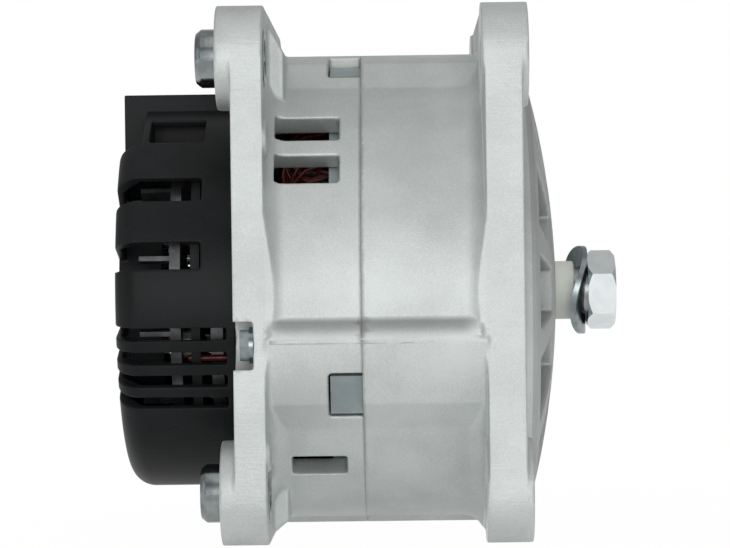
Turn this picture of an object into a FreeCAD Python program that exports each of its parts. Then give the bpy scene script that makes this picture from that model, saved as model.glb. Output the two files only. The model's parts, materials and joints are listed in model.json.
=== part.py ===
import FreeCAD, Part
import math
import os
import re

import Sketcher
from FreeCAD import Placement, Rotation, Vector

# Claw-pole alternator without its pulley, in millimetres.
# The origin is on the shaft axis at the pulley seat, the front face of the front bearing.
# +X runs along the shaft towards the nut and +Z is up.
# Most lengths along X are taken from the split between the two housings,
# and each piece is then placed with the split at its distance from the seat.
# Angles round the shaft are counted from the left side, -Y, towards the top.

SIZES = {
    # Housings, both
    "seat_to_split": 61.0,
    "shell_radius": 78.0,
    "cavity_radius": 71.0,
    "side_boss_radius": 81.4,
    "top_boss_radius": 82.8,
    "bottom_boss_radius": 81.0,
    "boss_foot": -7.0,
    "boss_start": -10.7,
    "boss_end": -26.0,
    "boss_blend": -35.0,
    "boss_sink": 0.2,
    "upper_side_turn": 97.0,
    "half_turn": 180.0,
    "overrun": 1.0,
    # Mounting ears
    "ear_spacing_across": 124.0,
    "ear_spacing_upright": 142.6,
    "ear_pattern_rise": 6.5,
    "ear_radius": 17.2,
    "flange_fillet": 7.0,
    "mount_bolt_hole_radius": 6.25,
    # Front housing
    "front_shell_length": 40.6,
    "front_flange_thickness": 12.3,
    "front_ear_back_step": 0.9,
    "front_ear_front_step": 2.1,
    "dome_radius": 278.0,
    "dome_apex": 66.5,
    "dome_foot_radius": 71.0,
    "dome_foot_step": 2.5,
    "dome_wall": 6.0,
    "front_cavity_corner": 4.0,
    "front_air_slot_count": 12,
    "front_air_slot_inner": 38.5,
    "front_air_slot_outer": 66.0,
    "front_air_slot_half_angle": 10.5,
    "nose_hole_radius": 11.2,
    "nose_lip_gap": 0.8,
    "nose_lip_inner_radius": 21.0,
    "front_bearing_boss_radius": 37.0,
    "front_boss_back_gap": 1.0,
    # Rear housing
    "rear_shell_length": 31.2,
    "rear_flange_thickness": 10.4,
    "rear_ear_back_step": 5.1,
    "rear_ear_hole_run": 2.3,
    "rear_wall": 5.5,
    "rear_air_slot_count": 12,
    "rear_air_slot_first": 15.0,
    "rear_air_slot_inner": 34.0,
    "rear_air_slot_outer": 58.0,
    "rear_air_slot_half_angle": 6.0,
    "rear_bearing_boss_radius": 30.0,
    "rear_boss_back_reach": 4.0,
    "rear_lip_radius": 20.0,
    "gusset_reach": 5.7,
    "gusset_half_width": 44.0,
    "gusset_base": 60.0,
    "upper_gusset_drop": 14.0,
    "lower_gusset_drop": 6.5,
    "wide_vent_start": 7.0,
    "wide_vent_end": 28.6,
    "wide_vent_half_angle": 4.0,
    "narrow_vent_start": 5.8,
    "narrow_vent_end": 24.0,
    "narrow_vent_half_angle": 3.35,
    "vent_side_count": 2,
    "upper_vent_angle": 44.8,
    "middle_vent_angle": 31.9,
    "lower_vent_angle": -46.85,
    "vent_depth_radius": 68.0,
    "lug_window_length": 11.1,
    "lug_window_half_angle": 5.9,
    "lug_gap": 0.35,
    "lug_pocket_margin": 0.3,
    "casting_pad_radius": 6.0,
    "casting_pad_height": 1.2,
    "casting_pad_drop": 50.7,
    "casting_pad_across": 72.8,
    # Through bolts
    "bolt_circle_radius": 75.5,
    "bolt_angle": -12.3,
    "bolt_radius": 3.0,
    "bolt_clearance": 0.3,
    "bolt_thread_depth": 22.0,
    "thread_gap": 0.02,
    "bolt_seat_depth": 6.5,
    "bolt_pocket_radius": 9.4,
    "bolt_flange_radius": 6.0,
    "bolt_flange_thickness": 1.4,
    "bolt_head_height": 4.4,
    "bolt_head_across_flats": 10.0,
    # Stator
    "stack_radius": 70.8,
    "stack_bore_radius": 53.2,
    "stack_rear_reach": 10.5,
    "stack_length": 38.3,
    "lug_radius": 79.5,
    "lug_angle": -24.3,
    "lug_half_angle": 4.9,
    "lug_root": 2.0,
    "slot_count": 36,
    "slot_outer_radius": 65.5,
    "slot_half_width": 2.6,
    "slot_mouth_half_width": 1.2,
    "slot_mouth_radius": 54.6,
    "slot_shoulder": 1.0,
    "winding_gap": 0.25,
    "winding_bar_reach": 2.0,
    "winding_rear_overhang": 16.5,
    "winding_front_overhang": 14.5,
    "crown_inner_radius": 56.0,
    "crown_outer_radius": 66.5,
    "crown_corner": 3.0,
    "crown_bend_radius": 4.5,
    # Shaft
    "core_journal_radius": 10.5,
    "seat_journal_radius": 8.5,
    "front_journal_radius": 10.0,
    "collar_radius": 12.5,
    "collar_width": 2.0,
    "thread_radius": 8.0,
    "nut_start": 77.7,
    "nut_height": 9.6,
    "nut_across_flats": 24.0,
    "nut_chamfer_radius": 12.2,
    "nut_chamfer_run": 0.9,
    "nut_turn": 36.6,
    "rear_journal_radius": 8.5,
    "ring_journal_radius": 7.5,
    "shaft_rear_reach": 76.0,
    "journal_fit": 0.01,
    "shaft_chamfer": 1.2,
    # Front bearing, 20 x 52 x 15
    "front_bearing_outer_radius": 26.0,
    "front_bearing_width": 15.0,
    "front_ball_radius": 4.6,
    "front_ball_count": 8,
    # Rear bearing, 17 x 47 x 14
    "rear_bearing_outer_radius": 23.5,
    "rear_bearing_width": 14.0,
    "rear_bearing_front": 30.5,
    "rear_ball_radius": 4.2,
    "rear_ball_count": 8,
    "rear_liner_wall": 1.5,
    # What both bearings share
    "ball_gap": 0.15,
    "race_shoulder": 0.42,
    "cage_half_width": 5.4,
    "cage_ball_gap": 0.2,
    "cage_half_depth": 1.1,
    "seal_thickness": 0.8,
    "seal_gap": 0.3,
    "retainer_inner_radius": 20.6,
    "retainer_outer_radius": 35.5,
    "retainer_thickness": 2.0,
    "retainer_screw_circle": 31.5,
    "retainer_screw_radius": 2.0,
    "retainer_screw_head_radius": 3.6,
    "retainer_screw_head_height": 2.2,
    "retainer_screw_length": 9.0,
    "retainer_screw_count": 4,
    "screw_hole_extra": 0.5,
    "screw_ring_turn": 45.0,
    # Rotor
    "rotor_radius": 52.8,
    "pole_count": 6,
    "pole_disc_radius": 42.0,
    "pole_disc_thickness": 13.0,
    "rotor_rear_face": 12.0,
    "rotor_core_length": 15.5,
    "finger_root_half_angle": 13.5,
    "finger_tip_half_angle": 6.0,
    "finger_root_inner": 38.0,
    "finger_tip_inner": 47.5,
    "finger_tip_gap": 1.5,
    "field_core_radius": 20.0,
    "bobbin_wall": 1.5,
    "bobbin_outer_radius": 36.5,
    "coil_outer_radius": 35.0,
    "fan_radius": 50.5,
    "fan_plate": 2.0,
    "fan_plate_radius": 46.0,
    "front_fan_width": 10.0,
    "rear_fan_width": 10.0,
    "fan_blade_count": 9,
    "fan_blade_root_spread": 4.0,
    "fan_blade_tip_spread": 2.0,
    "fan_blade_inner": 24.0,
    "fan_blade_lean": 32.0,
    # Slip rings and brush gear
    "slip_hub_radius": 10.0,
    "slip_hub_length": 26.0,
    "slip_hub_start": 48.5,
    "slip_ring_radius": 13.5,
    "slip_ring_width": 8.0,
    "inner_ring_start": 51.5,
    "outer_ring_start": 62.5,
    "brush_gap": 0.3,
    "brush_width": 5.0,
    "brush_depth": 7.0,
    "brush_length": 16.0,
    "brush_clearance": 0.3,
    "brush_spring_radius": 2.1,
    "brush_spring_wire": 0.35,
    "brush_spring_turns": 6,
    "brush_spring_length": 10.0,
    "holder_wall": 2.5,
    "holder_lift": 3.0,
    "holder_length": 24.0,
    "regulator_height": 11.0,
    "regulator_width": 26.0,
    # Rectifier
    "negative_plate_start": 46.0,
    "negative_plate_thickness": 4.0,
    "positive_plate_start": 60.0,
    "positive_plate_thickness": 3.5,
    "plate_inner_radius": 31.0,
    "negative_plate_outer_radius": 61.5,
    "positive_plate_outer_radius": 60.0,
    "plate_open_half_angle": 48.0,
    "diode_radius": 6.35,
    "negative_diode_circle": 38.5,
    "positive_diode_circle": 46.0,
    "diode_count": 6,
    "diode_first_angle": -206.0,
    "diode_step": 46.4,
    "diode_height": 7.0,
    "diode_pin_radius": 0.7,
    "diode_pin_proud": 1.2,
    "diode_fit": 0.02,
    "rectifier_fin_count": 22,
    "rectifier_fin_thickness": 1.6,
    "rectifier_fin_height": 10.0,
    "rectifier_fin_inner": 55.0,
    "rectifier_fin_step": 12.0,
    "rectifier_fin_inset": 0.1,
    "board_start": 53.5,
    "board_thickness": 3.0,
    "board_outer_radius": 62.0,
    "rectifier_screw_radius": 2.5,
    "rectifier_screw_circle": 50.0,
    "rectifier_screw_head_radius": 4.2,
    "rectifier_screw_head_height": 3.2,
    "rectifier_screw_count": 3,
    "rectifier_screw_first": -182.8,
    "rectifier_screw_step": 92.8,
    "rectifier_screw_depth": 4.0,
    "rectifier_spacer_radius": 4.6,
    "phase_lead_radius": 1.1,
    "phase_lead_circle": 60.0,
    "phase_lead_gap": 1.2,
    "phase_lead_count": 3,
    "phase_lead_first": -130.0,
    "phase_lead_step": 55.0,
    # Rear cover
    "cover_radius": 66.5,
    "cover_wall": 2.4,
    "cover_length": 39.9,
    "cover_corner": 8.0,
    "cover_slot_inner": 46.0,
    "cover_hub_reach": 67.0,
    "upper_slot_start": 28.4,
    "middle_slot_start": 7.7,
    "wide_slot_spread": 7.8,
    "narrow_slot_start": -12.8,
    "narrow_slot_spread": 3.7,
    "narrow_slot_step": 7.1,
    "narrow_slot_count": 4,
    "recess_first": 50.0,
    "recess_last": 74.0,
    "recess_side": 2.2,
    "recess_floor": 73.5,
    "recess_overlap": 0.1,
    "recess_window_first": 51.0,
    "recess_window_last": 63.5,
    "cover_long_slot_end": 44.6,
    "cover_short_slot_end": 52.8,
    "cover_screw_circle": 25.0,
    "cover_screw_count": 4,
    "cover_screw_length": 9.0,
    "cover_screw_radius": 2.5,
    "cover_screw_head_radius": 5.0,
    "cover_screw_head_height": 2.5,
    "cover_post_across_flats": 8.0,
    # Terminal box
    "box_left": 20.0,
    "box_right": 34.0,
    "box_floor": 46.0,
    "box_top": 69.0,
    "box_wall": 2.4,
    "box_fit": 0.3,
    "box_front_gap": 0.4,
    "stud_radius": 4.0,
    "stud_across": 22.0,
    "stud_rise": 57.5,
    "stud_rear_reach": 80.0,
    "stud_recess_start": 66.0,
    "stud_recess_half_width": 9.5,
    "stud_recess_drop": 8.5,
    "busbar_thickness": 2.0,
    "busbar_half_width": 6.0,
    "busbar_gap": 0.3,
    "busbar_foot_angle": 36.0,
    "busbar_foot_length": 9.0,
    "stud_nut_across_flats": 13.0,
    "stud_nut_height": 6.5,
    "stud_washer_radius": 8.0,
    "stud_washer_thickness": 1.6,
    "socket_across": -8.5,
    "socket_rise": 58.0,
    "socket_half_width": 8.5,
    "socket_half_height": 6.0,
    "socket_depth": 12.0,
    "pin_count": 3,
    "pin_pitch": 5.0,
    "pin_width": 2.4,
    "pin_thickness": 0.8,
    "pin_length": 7.5,
    "pin_root": 3.0,
    # Mounting bushes in the rear ears
    "bush_radius": 9.6,
    "bush_fit": 0.03,
    "bush_back_reach": 6.8,
    "bush_length": 22.6,
    "bush_chamfer": 2.3,
    "bush_chamfer_drop": 1.8,
    # Shaft front end
    "sleeve_radius": 10.15,
    "sleeve_end": 73.0,
    "thread_run": 1.0,
    "sleeve_fit": 0.05,
    "sleeve_chamfer": 0.4,
    "washer_outer_radius": 15.4,
    "washer_inner_radius": 8.6,
    "washer_thickness": 1.6,
    "washer_bend_radius": 27.6,
    "washer_turn": 28.0,
    "washer_nut_gap": 0.05,
}

document = FreeCAD.newDocument("alternator")
sheet = document.addObject("Spreadsheet::Sheet", "Sizes")
for row, (alias, value) in enumerate(SIZES.items(), start=1):
    sheet.set(f"A{row}", alias)
    sheet.set(f"B{row}", str(value))
    sheet.setAlias(f"B{row}", alias)
document.recompute()

subparts = {}


def formula(text):
    """Turns plain size names in a formula into references to the sheet."""
    return re.sub(r"[a-z][a-z_]*[a-z]", lambda word: f"Sizes.{word[0]}" if word[0] in SIZES else word[0], text)


def value_of(text):
    """The number that a formula of the sheet's sizes gives now."""
    return float(sheet.evalExpression(formula(text)))


def bind(item, name, text):
    item.setExpression(name, formula(text))


def polar(radius, angle):
    """A point of a cross-section: across to the right, then up, for an angle from the left side."""
    return (f"-({radius}) * cos({angle})", f"({radius}) * sin({angle})")


def new_body(name):
    body = document.addObject("PartDesign::Body", name)
    body.Label = name
    body.AllowCompound = True
    subparts[name] = body
    return body


def origin_item(body, role):
    return [item for item in body.Origin.OriginFeatures if item.Role == role][0]


def new_sketch(body, name, role="YZ_Plane", offset="0"):
    sketch = body.newObject("Sketcher::SketchObject", name)
    sketch.AttachmentSupport = (origin_item(body, role), [""])
    sketch.MapMode = "FlatFace"
    bind(sketch, "AttachmentOffset.Base.z", offset)
    return sketch


def hold(sketch, kind, geometry, place, text):
    """Adds one dimension from the sketch's origin to a point and binds it to its formula."""
    number = sketch.addConstraint(Sketcher.Constraint(kind, -1, 1, geometry, place, value_of(text)))
    bind(sketch, f"Constraints[{number}]", text)


def draw_outline(sketch, corners):
    """Draws a closed outline. A corner is (across, up), or (across, up, radius, side) where the edge
    that leaves it is an arc with its centre on that side, 1 for the left and -1 for the right."""
    points = [Vector(value_of(corner[0]), value_of(corner[1]), 0) for corner in corners]
    starts = []
    ends = []
    for index, corner in enumerate(corners):
        first = points[index]
        last = points[(index + 1) % len(points)]
        if len(corner) == 2:
            edge = sketch.addGeometry(Part.LineSegment(first, last), False)
            starts.append((edge, 1))
            ends.append((edge, 2))
            continue
        radius = value_of(corner[2])
        side = corner[3]
        chord = last - first
        height = math.sqrt(max(radius ** 2 - (chord.Length / 2) ** 2, 0))
        leftward = Vector(-chord.y, chord.x, 0).normalize()
        centre = (first + last) / 2 + leftward * height * side
        begin, finish = (first, last) if side > 0 else (last, first)
        turn_begin = math.atan2(begin.y - centre.y, begin.x - centre.x)
        turn_finish = math.atan2(finish.y - centre.y, finish.x - centre.x)
        circle = Part.Circle(centre, Vector(0, 0, 1), radius)
        edge = sketch.addGeometry(Part.ArcOfCircle(circle, turn_begin, turn_finish), False)
        number = sketch.addConstraint(Sketcher.Constraint("Radius", edge, radius))
        bind(sketch, f"Constraints[{number}]", corner[2])
        starts.append((edge, 1 if side > 0 else 2))
        ends.append((edge, 2 if side > 0 else 1))
    for index, corner in enumerate(corners):
        sketch.addConstraint(Sketcher.Constraint("Coincident", *ends[index - 1], *starts[index]))
        hold(sketch, "DistanceX", *starts[index], corner[0])
        hold(sketch, "DistanceY", *starts[index], corner[1])


def draw_circles(sketch, circles):
    """Draws circles, each given as (across, up, radius)."""
    for across, rise, radius in circles:
        centre = Vector(value_of(across), value_of(rise), 0)
        edge = sketch.addGeometry(Part.Circle(centre, Vector(0, 0, 1), value_of(radius)), False)
        number = sketch.addConstraint(Sketcher.Constraint("Radius", edge, value_of(radius)))
        bind(sketch, f"Constraints[{number}]", radius)
        hold(sketch, "DistanceX", edge, 3, across)
        hold(sketch, "DistanceY", edge, 3, rise)


def turned(body, corners, cut=False, axis_rise=None):
    """Turns an outline of (along, radius) corners round the shaft axis, or round a line at a rise."""
    sketch = new_sketch(body, f"{body.Label}_section", "XY_Plane")
    draw_outline(sketch, corners)
    axis = "H_Axis"
    if axis_rise is not None:
        rise = value_of(axis_rise)
        line = sketch.addGeometry(Part.LineSegment(Vector(0, rise, 0), Vector(10, rise, 0)), True)
        sketch.addConstraint(Sketcher.Constraint("Horizontal", line))
        hold(sketch, "DistanceX", line, 1, "0")
        hold(sketch, "DistanceY", line, 1, axis_rise)
        axis = "Axis0"
    kind = "PartDesign::Groove" if cut else "PartDesign::Revolution"
    feature = body.newObject(kind, f"{body.Label}_turned")
    feature.Profile = sketch
    feature.ReferenceAxis = (sketch, [axis])
    feature.Angle = 360
    document.recompute()
    return feature


def raised(body, start, end, draw, shapes, role="YZ_Plane"):
    """Pads sketched shapes from one plane to a higher one."""
    sketch = new_sketch(body, f"{body.Label}_shape", role, start)
    draw(sketch, shapes)
    feature = body.newObject("PartDesign::Pad", f"{body.Label}_pad")
    feature.Profile = sketch
    bind(feature, "Length", f"({end}) - ({start})")
    document.recompute()
    return feature


def sunk(body, start, end, draw, shapes, role="YZ_Plane"):
    """Cuts sketched shapes from one plane to a higher one, and checks that metal is taken away."""
    before = body.Shape.Volume
    sketch = new_sketch(body, f"{body.Label}_hollow", role, start)
    draw(sketch, shapes)
    feature = body.newObject("PartDesign::Pocket", f"{body.Label}_pocket")
    feature.Profile = sketch
    feature.Reversed = True
    bind(feature, "Length", f"({end}) - ({start})")
    document.recompute()
    if feature.Shape.Volume > before - 1e-6:
        raise ValueError(f"a pocket of {body.Label} cuts nothing")
    return feature


def ringed(body, features, count, step=None):
    """Repeats features round the shaft, over the full turn or by a step in degrees."""
    pattern = body.newObject("PartDesign::PolarPattern", f"{body.Label}_ring")
    pattern.Originals = features
    pattern.Axis = (origin_item(body, "X_Axis"), [""])
    if step is None:
        pattern.Angle = 360
    else:
        bind(pattern, "Angle", f"({step}) * (({count}) - 1)")
    bind(pattern, "Occurrences", count)
    pattern.Reversed = step is not None
    body.Tip = pattern
    document.recompute()
    return pattern


def place(item, along="-seat_to_split", turn="0"):
    """Puts a piece at its distance from the pulley seat, turned about the shaft axis."""
    item.Placement.Rotation = Rotation(Vector(1, 0, 0), 0)
    bind(item, "Placement.Base.x", along)
    if turn != "0":
        bind(item, "Placement.Rotation.Angle", turn)
        item.Placement = Placement(item.Placement.Base, Rotation(Vector(1, 0, 0), value_of(turn)))


def sector(inner, outer, first, last, arcs=1):
    """The outline of a stretch of a ring between two angles, the last one higher, each side in some arcs."""
    angles = [f"({first}) + (({last}) - ({first})) * {step / arcs}" for step in range(arcs + 1)]
    forward = [(*polar(inner, angle), inner, -1) for angle in angles[:-1]]
    back = [(*polar(outer, angle), outer, 1) for angle in angles[:0:-1]]
    return [*forward, polar(inner, angles[-1]), *back, polar(outer, angles[0])]


def tube(body, start, end, inner, outer):
    """A plain turned ring."""
    return turned(body, [(start, inner), (end, inner), (end, outer), (start, outer)])


def half_disc(radius, rise):
    """The upper half of a disc, which turns into a ball round its flat side."""
    return [(f"-{radius}", rise), (radius, rise, radius, 1), ("0", f"{rise} + {radius}", radius, 1)]


def rectangle(left, right, low, high):
    return [(left, low), (right, low), (right, high), (left, high)]


# Mounting ears: the centres of the four holes, and the flange outline round them

ear_across = {"left": "-ear_spacing_across / 2", "right": "ear_spacing_across / 2"}
ear_up = {
    "upper": "ear_pattern_rise + ear_spacing_upright / 2",
    "lower": "ear_pattern_rise - ear_spacing_upright / 2",
}
ear_centres = [(ear_across[side], ear_up[level]) for level in ear_up for side in ear_across]
flange_outline = [
    (ear_across["left"], f"{ear_up['lower']} - ear_radius"),
    (ear_across["right"], f"{ear_up['lower']} - ear_radius", "ear_radius", 1),
    (f"{ear_across['right']} + ear_radius", ear_up["lower"]),
    (f"{ear_across['right']} + ear_radius", ear_up["upper"], "ear_radius", 1),
    (ear_across["right"], f"{ear_up['upper']} + ear_radius"),
    (ear_across["left"], f"{ear_up['upper']} + ear_radius", "ear_radius", 1),
    (f"{ear_across['left']} - ear_radius", ear_up["upper"]),
    (f"{ear_across['left']} - ear_radius", ear_up["lower"], "ear_radius", 1),
]


def draw_surround(sketch, outline):
    """Draws an outline inside a large square, so that only what lies outside the outline is cut."""
    draw_outline(sketch, outline)
    draw_outline(sketch, rectangle(*["-ear_spacing_upright", "ear_spacing_upright"] * 2))


# How far each side boss is turned from the left one, and its radius
side_bosses = {
    "0": "side_boss_radius",
    "upper_side_turn": "top_boss_radius",
    "half_turn": "side_boss_radius",
    "half_turn + upper_side_turn": "bottom_boss_radius",
}


def add_side_bosses(body, start, end):
    """The four long bosses on the shell, steep above and blended below, that hold bolts and lugs."""
    inner = "(cavity_radius + shell_radius) / 2"
    foot = "shell_radius - boss_sink"
    for turn, radius in side_bosses.items():
        raised(body, start, end, draw_outline, [
            (*polar(inner, f"boss_blend + {turn}"), inner, -1),
            polar(inner, f"boss_foot + {turn}"),
            polar(foot, f"boss_foot + {turn}"),
            (*polar(radius, f"boss_start + {turn}"), radius, 1),
            polar(radius, f"boss_end + {turn}"),
            polar(foot, f"boss_blend + {turn}"),
        ])


def bolt_spot(turn):
    """Where the through bolt of the side boss at that turn stands."""
    return polar("bolt_circle_radius", f"bolt_angle + {turn}")


def lug_sector(turn, inner, outer, half_angle):
    """The outline of the stator's lug, or of what holds it, at the side boss of that turn."""
    middle = f"lug_angle + {turn}"
    return sector(inner, outer, f"{middle} - ({half_angle})", f"{middle} + {half_angle}")


# Front housing

front_flange_back = "front_shell_length"
front_flange_front = "(front_shell_length + front_flange_thickness)"
front_ear_back = "(front_shell_length - front_ear_back_step)"
front_ear_front = "(front_shell_length + front_flange_thickness + front_ear_front_step)"
dome_centre = "(dome_apex - dome_radius)"
front_bearing_back = "(seat_to_split - front_bearing_width)"
front_boss_back = "(seat_to_split - front_bearing_width - front_boss_back_gap)"


def on_dome(radius, inset="0"):
    """How far along the shaft the dome lies at a radius, on its outside or a wall inside."""
    return f"({dome_centre} + sqrt((dome_radius - {inset})^2 - ({radius})^2))"


def make_front_housing():
    body = new_body("front_housing")
    turned(body, [
        ("0", "0"),
        ("dome_apex", "0", "dome_radius", 1),
        (on_dome("dome_foot_radius"), "dome_foot_radius"),
        (front_flange_front, "dome_foot_radius + dome_foot_step"),
        (front_flange_front, "shell_radius + flange_fillet"),
        (front_flange_back, "shell_radius + flange_fillet", "flange_fillet", -1),
        (f"{front_flange_back} - flange_fillet", "shell_radius"),
        ("0", "shell_radius"),
    ])
    sunk(body, f"{front_flange_back} - flange_fillet", front_flange_front, draw_surround, flange_outline)
    add_side_bosses(body, "0", front_flange_back)
    raised(body, front_flange_back, front_flange_front, draw_outline, flange_outline)
    ears = [(across, rise, "ear_radius") for across, rise in ear_centres]
    raised(body, front_ear_back, front_ear_front, draw_circles, ears)
    holes = [(across, rise, "mount_bolt_hole_radius") for across, rise in ear_centres]
    sunk(body, front_ear_back, front_ear_front, draw_circles, holes)
    wall_radius = "(cavity_radius - front_cavity_corner)"
    turned(body, [
        ("0", "0"),
        ("0", "cavity_radius"),
        (f"{front_flange_back} + front_cavity_corner", "cavity_radius"),
        (on_dome(wall_radius, "dome_wall"), wall_radius, "dome_radius - dome_wall", -1),
        (on_dome("front_bearing_boss_radius", "dome_wall"), "front_bearing_boss_radius"),
        (front_boss_back, "front_bearing_boss_radius"),
        (front_boss_back, "front_bearing_outer_radius"),
        ("seat_to_split", "front_bearing_outer_radius"),
        ("seat_to_split", "nose_lip_inner_radius"),
        ("seat_to_split + nose_lip_gap", "nose_lip_inner_radius"),
        ("seat_to_split + nose_lip_gap", "nose_hole_radius"),
        ("dome_apex + overrun", "nose_hole_radius"),
        ("dome_apex + overrun", "0"),
    ], cut=True)
    for turn in side_bosses:
        sunk(body, "0", "stack_length - stack_rear_reach + lug_gap", draw_outline,
             lug_sector(turn, "cavity_radius - overrun", "lug_radius + lug_gap",
                        "lug_half_angle + lug_pocket_margin"))
    thread_holes = [(*bolt_spot(turn), "bolt_radius + thread_gap") for turn in side_bosses]
    sunk(body, "0", "bolt_thread_depth + overrun", draw_circles, thread_holes)
    air_slot = sector(
        "front_air_slot_inner", "front_air_slot_outer",
        "-front_air_slot_half_angle", "front_air_slot_half_angle",
    )
    slot = sunk(body, front_flange_back, "dome_apex + overrun", draw_outline, air_slot)
    ringed(body, [slot], "front_air_slot_count")
    screw_hole = (*polar("retainer_screw_circle", "screw_ring_turn"), "retainer_screw_radius + thread_gap")
    screw = sunk(
        body, front_boss_back,
        "seat_to_split - front_bearing_width + retainer_screw_length - retainer_thickness + screw_hole_extra",
        draw_circles, [screw_hole],
    )
    ringed(body, [screw], "retainer_screw_count")
    place(body)


# Rear housing

rear_flange_front = "(-rear_shell_length)"
rear_face = "(-rear_shell_length - rear_flange_thickness)"
rear_ear_back = "(-rear_shell_length - rear_flange_thickness - rear_ear_back_step)"
bolt_seat = "(-rear_shell_length - rear_flange_thickness + bolt_seat_depth)"
rear_bearing_back = "(-rear_bearing_front - rear_bearing_width)"
liner_radius = "(rear_bearing_outer_radius + rear_liner_wall)"


def add_gusset(body, sign, edge, drop):
    """The sloping web between the flange and the shell, above for no sign and below for a minus."""
    raised(body, "-gusset_half_width", "gusset_half_width", draw_outline, [
        (f"{rear_flange_front} - overrun", f"{sign}gusset_base"),
        (f"{rear_flange_front} + gusset_reach", f"{sign}gusset_base"),
        (f"{rear_flange_front} + gusset_reach", f"{sign}({edge} - {drop})"),
        (f"{rear_flange_front} + gusset_reach / 3", f"{sign}({edge} - {drop} / 2)"),
        (f"{rear_flange_front} - overrun", f"{sign}({edge} - overrun)"),
    ], role="XZ_Plane")


def make_rear_housing():
    body = new_body("rear_housing")
    boss_rear = f"({rear_face} - rear_boss_back_reach)"
    turned(body, [
        ("0", "0"),
        ("0", "shell_radius"),
        (f"{rear_flange_front} + flange_fillet", "shell_radius", "flange_fillet", -1),
        (rear_flange_front, "shell_radius + flange_fillet"),
        (rear_face, "shell_radius + flange_fillet"),
        (rear_face, "rear_bearing_boss_radius"),
        (boss_rear, "rear_bearing_boss_radius"),
        (boss_rear, "0"),
    ])
    sunk(body, rear_face, f"{rear_flange_front} + flange_fillet", draw_surround, flange_outline)
    add_side_bosses(body, rear_flange_front, "0")
    raised(body, rear_face, rear_flange_front, draw_outline, flange_outline)
    ears = [(across, rise, "ear_radius") for across, rise in ear_centres]
    raised(body, rear_ear_back, rear_flange_front, draw_circles, ears)
    add_gusset(body, "", f"({ear_up['upper']} + ear_radius)", "upper_gusset_drop")
    add_gusset(body, "-", f"(-({ear_up['lower']}) + ear_radius)", "lower_gusset_drop")
    pads = [
        (f"{side}casting_pad_across", f"{level}casting_pad_drop", "casting_pad_radius")
        for side in ("-", "") for level in ("-", "")
    ]
    raised(body, rear_flange_front, f"{rear_flange_front} + casting_pad_height", draw_circles, pads)
    holes = [(across, rise, "bush_radius + bush_fit") for across, rise in ear_centres]
    sunk(body, rear_ear_back, f"{rear_flange_front} + rear_ear_hole_run", draw_circles, holes)
    turned(body, [
        ("0", "0"),
        ("0", "cavity_radius"),
        (f"{rear_face} + 2 * rear_wall", "cavity_radius"),
        (f"{rear_face} + rear_wall", "cavity_radius - rear_wall"),
        (f"{rear_face} + rear_wall", "rear_bearing_boss_radius"),
        ("-rear_bearing_front", "rear_bearing_boss_radius"),
        ("-rear_bearing_front", liner_radius),
        (rear_bearing_back, liner_radius),
        (rear_bearing_back, "rear_lip_radius"),
        (f"{boss_rear} - overrun", "rear_lip_radius"),
        (f"{boss_rear} - overrun", "0"),
    ], cut=True)
    head_pockets = [(*bolt_spot(turn), "bolt_pocket_radius") for turn in side_bosses]
    sunk(body, rear_face, bolt_seat, draw_circles, head_pockets)
    bolt_holes = [(*bolt_spot(turn), "bolt_radius + bolt_clearance") for turn in side_bosses]
    sunk(body, rear_face, "0", draw_circles, bolt_holes)
    for turn, radius in side_bosses.items():
        sunk(body, "-lug_window_length", "0", draw_outline,
             lug_sector(turn, "cavity_radius - overrun", f"{radius} + overrun", "lug_window_half_angle"))
    for row, width in (("upper", "wide"), ("middle", "wide"), ("lower", "narrow")):
        outline = sector(
            "vent_depth_radius", "shell_radius + overrun",
            f"{row}_vent_angle - {width}_vent_half_angle", f"{row}_vent_angle + {width}_vent_half_angle",
        )
        vent = sunk(body, f"-{width}_vent_end", f"-{width}_vent_start", draw_outline, outline)
        ringed(body, [vent], "vent_side_count")
    air_slot = sector(
        "rear_air_slot_inner", "rear_air_slot_outer",
        "rear_air_slot_first - rear_air_slot_half_angle", "rear_air_slot_first + rear_air_slot_half_angle",
    )
    slot = sunk(body, f"{rear_face} - overrun", f"{rear_face} + rear_wall + overrun", draw_outline, air_slot)
    ringed(body, [slot], "rear_air_slot_count")
    lead_spot = polar("phase_lead_circle", "phase_lead_first")
    lead = sunk(body, rear_face, f"{rear_face} + 2 * rear_wall", draw_circles,
                [(*lead_spot, "phase_lead_radius + phase_lead_gap")])
    ringed(body, [lead], "phase_lead_count", "phase_lead_step")
    screw_spot = polar("rectifier_screw_circle", "rectifier_screw_first")
    screw = sunk(body, rear_face, f"{rear_face} + rectifier_screw_depth + screw_hole_extra", draw_circles,
                 [(*screw_spot, "rectifier_screw_radius + thread_gap")])
    ringed(body, [screw], "rectifier_screw_count", "rectifier_screw_step")
    place(body)


# Through bolts, from the rear housing into the front one


def hexagon(across_flats, across="0", rise="0", first="0"):
    """A hexagon's corners round a point, the first at an angle from the right."""
    return [
        (
            f"{across} + {across_flats} / sqrt(3) * cos({first} + {60 * corner})",
            f"{rise} + {across_flats} / sqrt(3) * sin({first} + {60 * corner})",
        )
        for corner in range(6)
    ]


def make_through_bolts():
    body = new_body("through_bolts")
    centres = [bolt_spot(turn) for turn in side_bosses]
    shanks = [(*centre, "bolt_radius") for centre in centres]
    raised(body, bolt_seat, "bolt_thread_depth", draw_circles, shanks)
    flanges = [(*centre, "bolt_flange_radius") for centre in centres]
    raised(body, f"{bolt_seat} - bolt_flange_thickness", bolt_seat, draw_circles, flanges)
    for centre in centres:
        raised(body, f"{bolt_seat} - bolt_head_height", f"{bolt_seat} - bolt_flange_thickness",
               draw_outline, hexagon("bolt_head_across_flats", *centre))
    place(body)


# Stator: the laminated core with its four lugs, and the winding through its slots

stack_rear = "(-stack_rear_reach)"
stack_front = "(stack_length - stack_rear_reach)"


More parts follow.
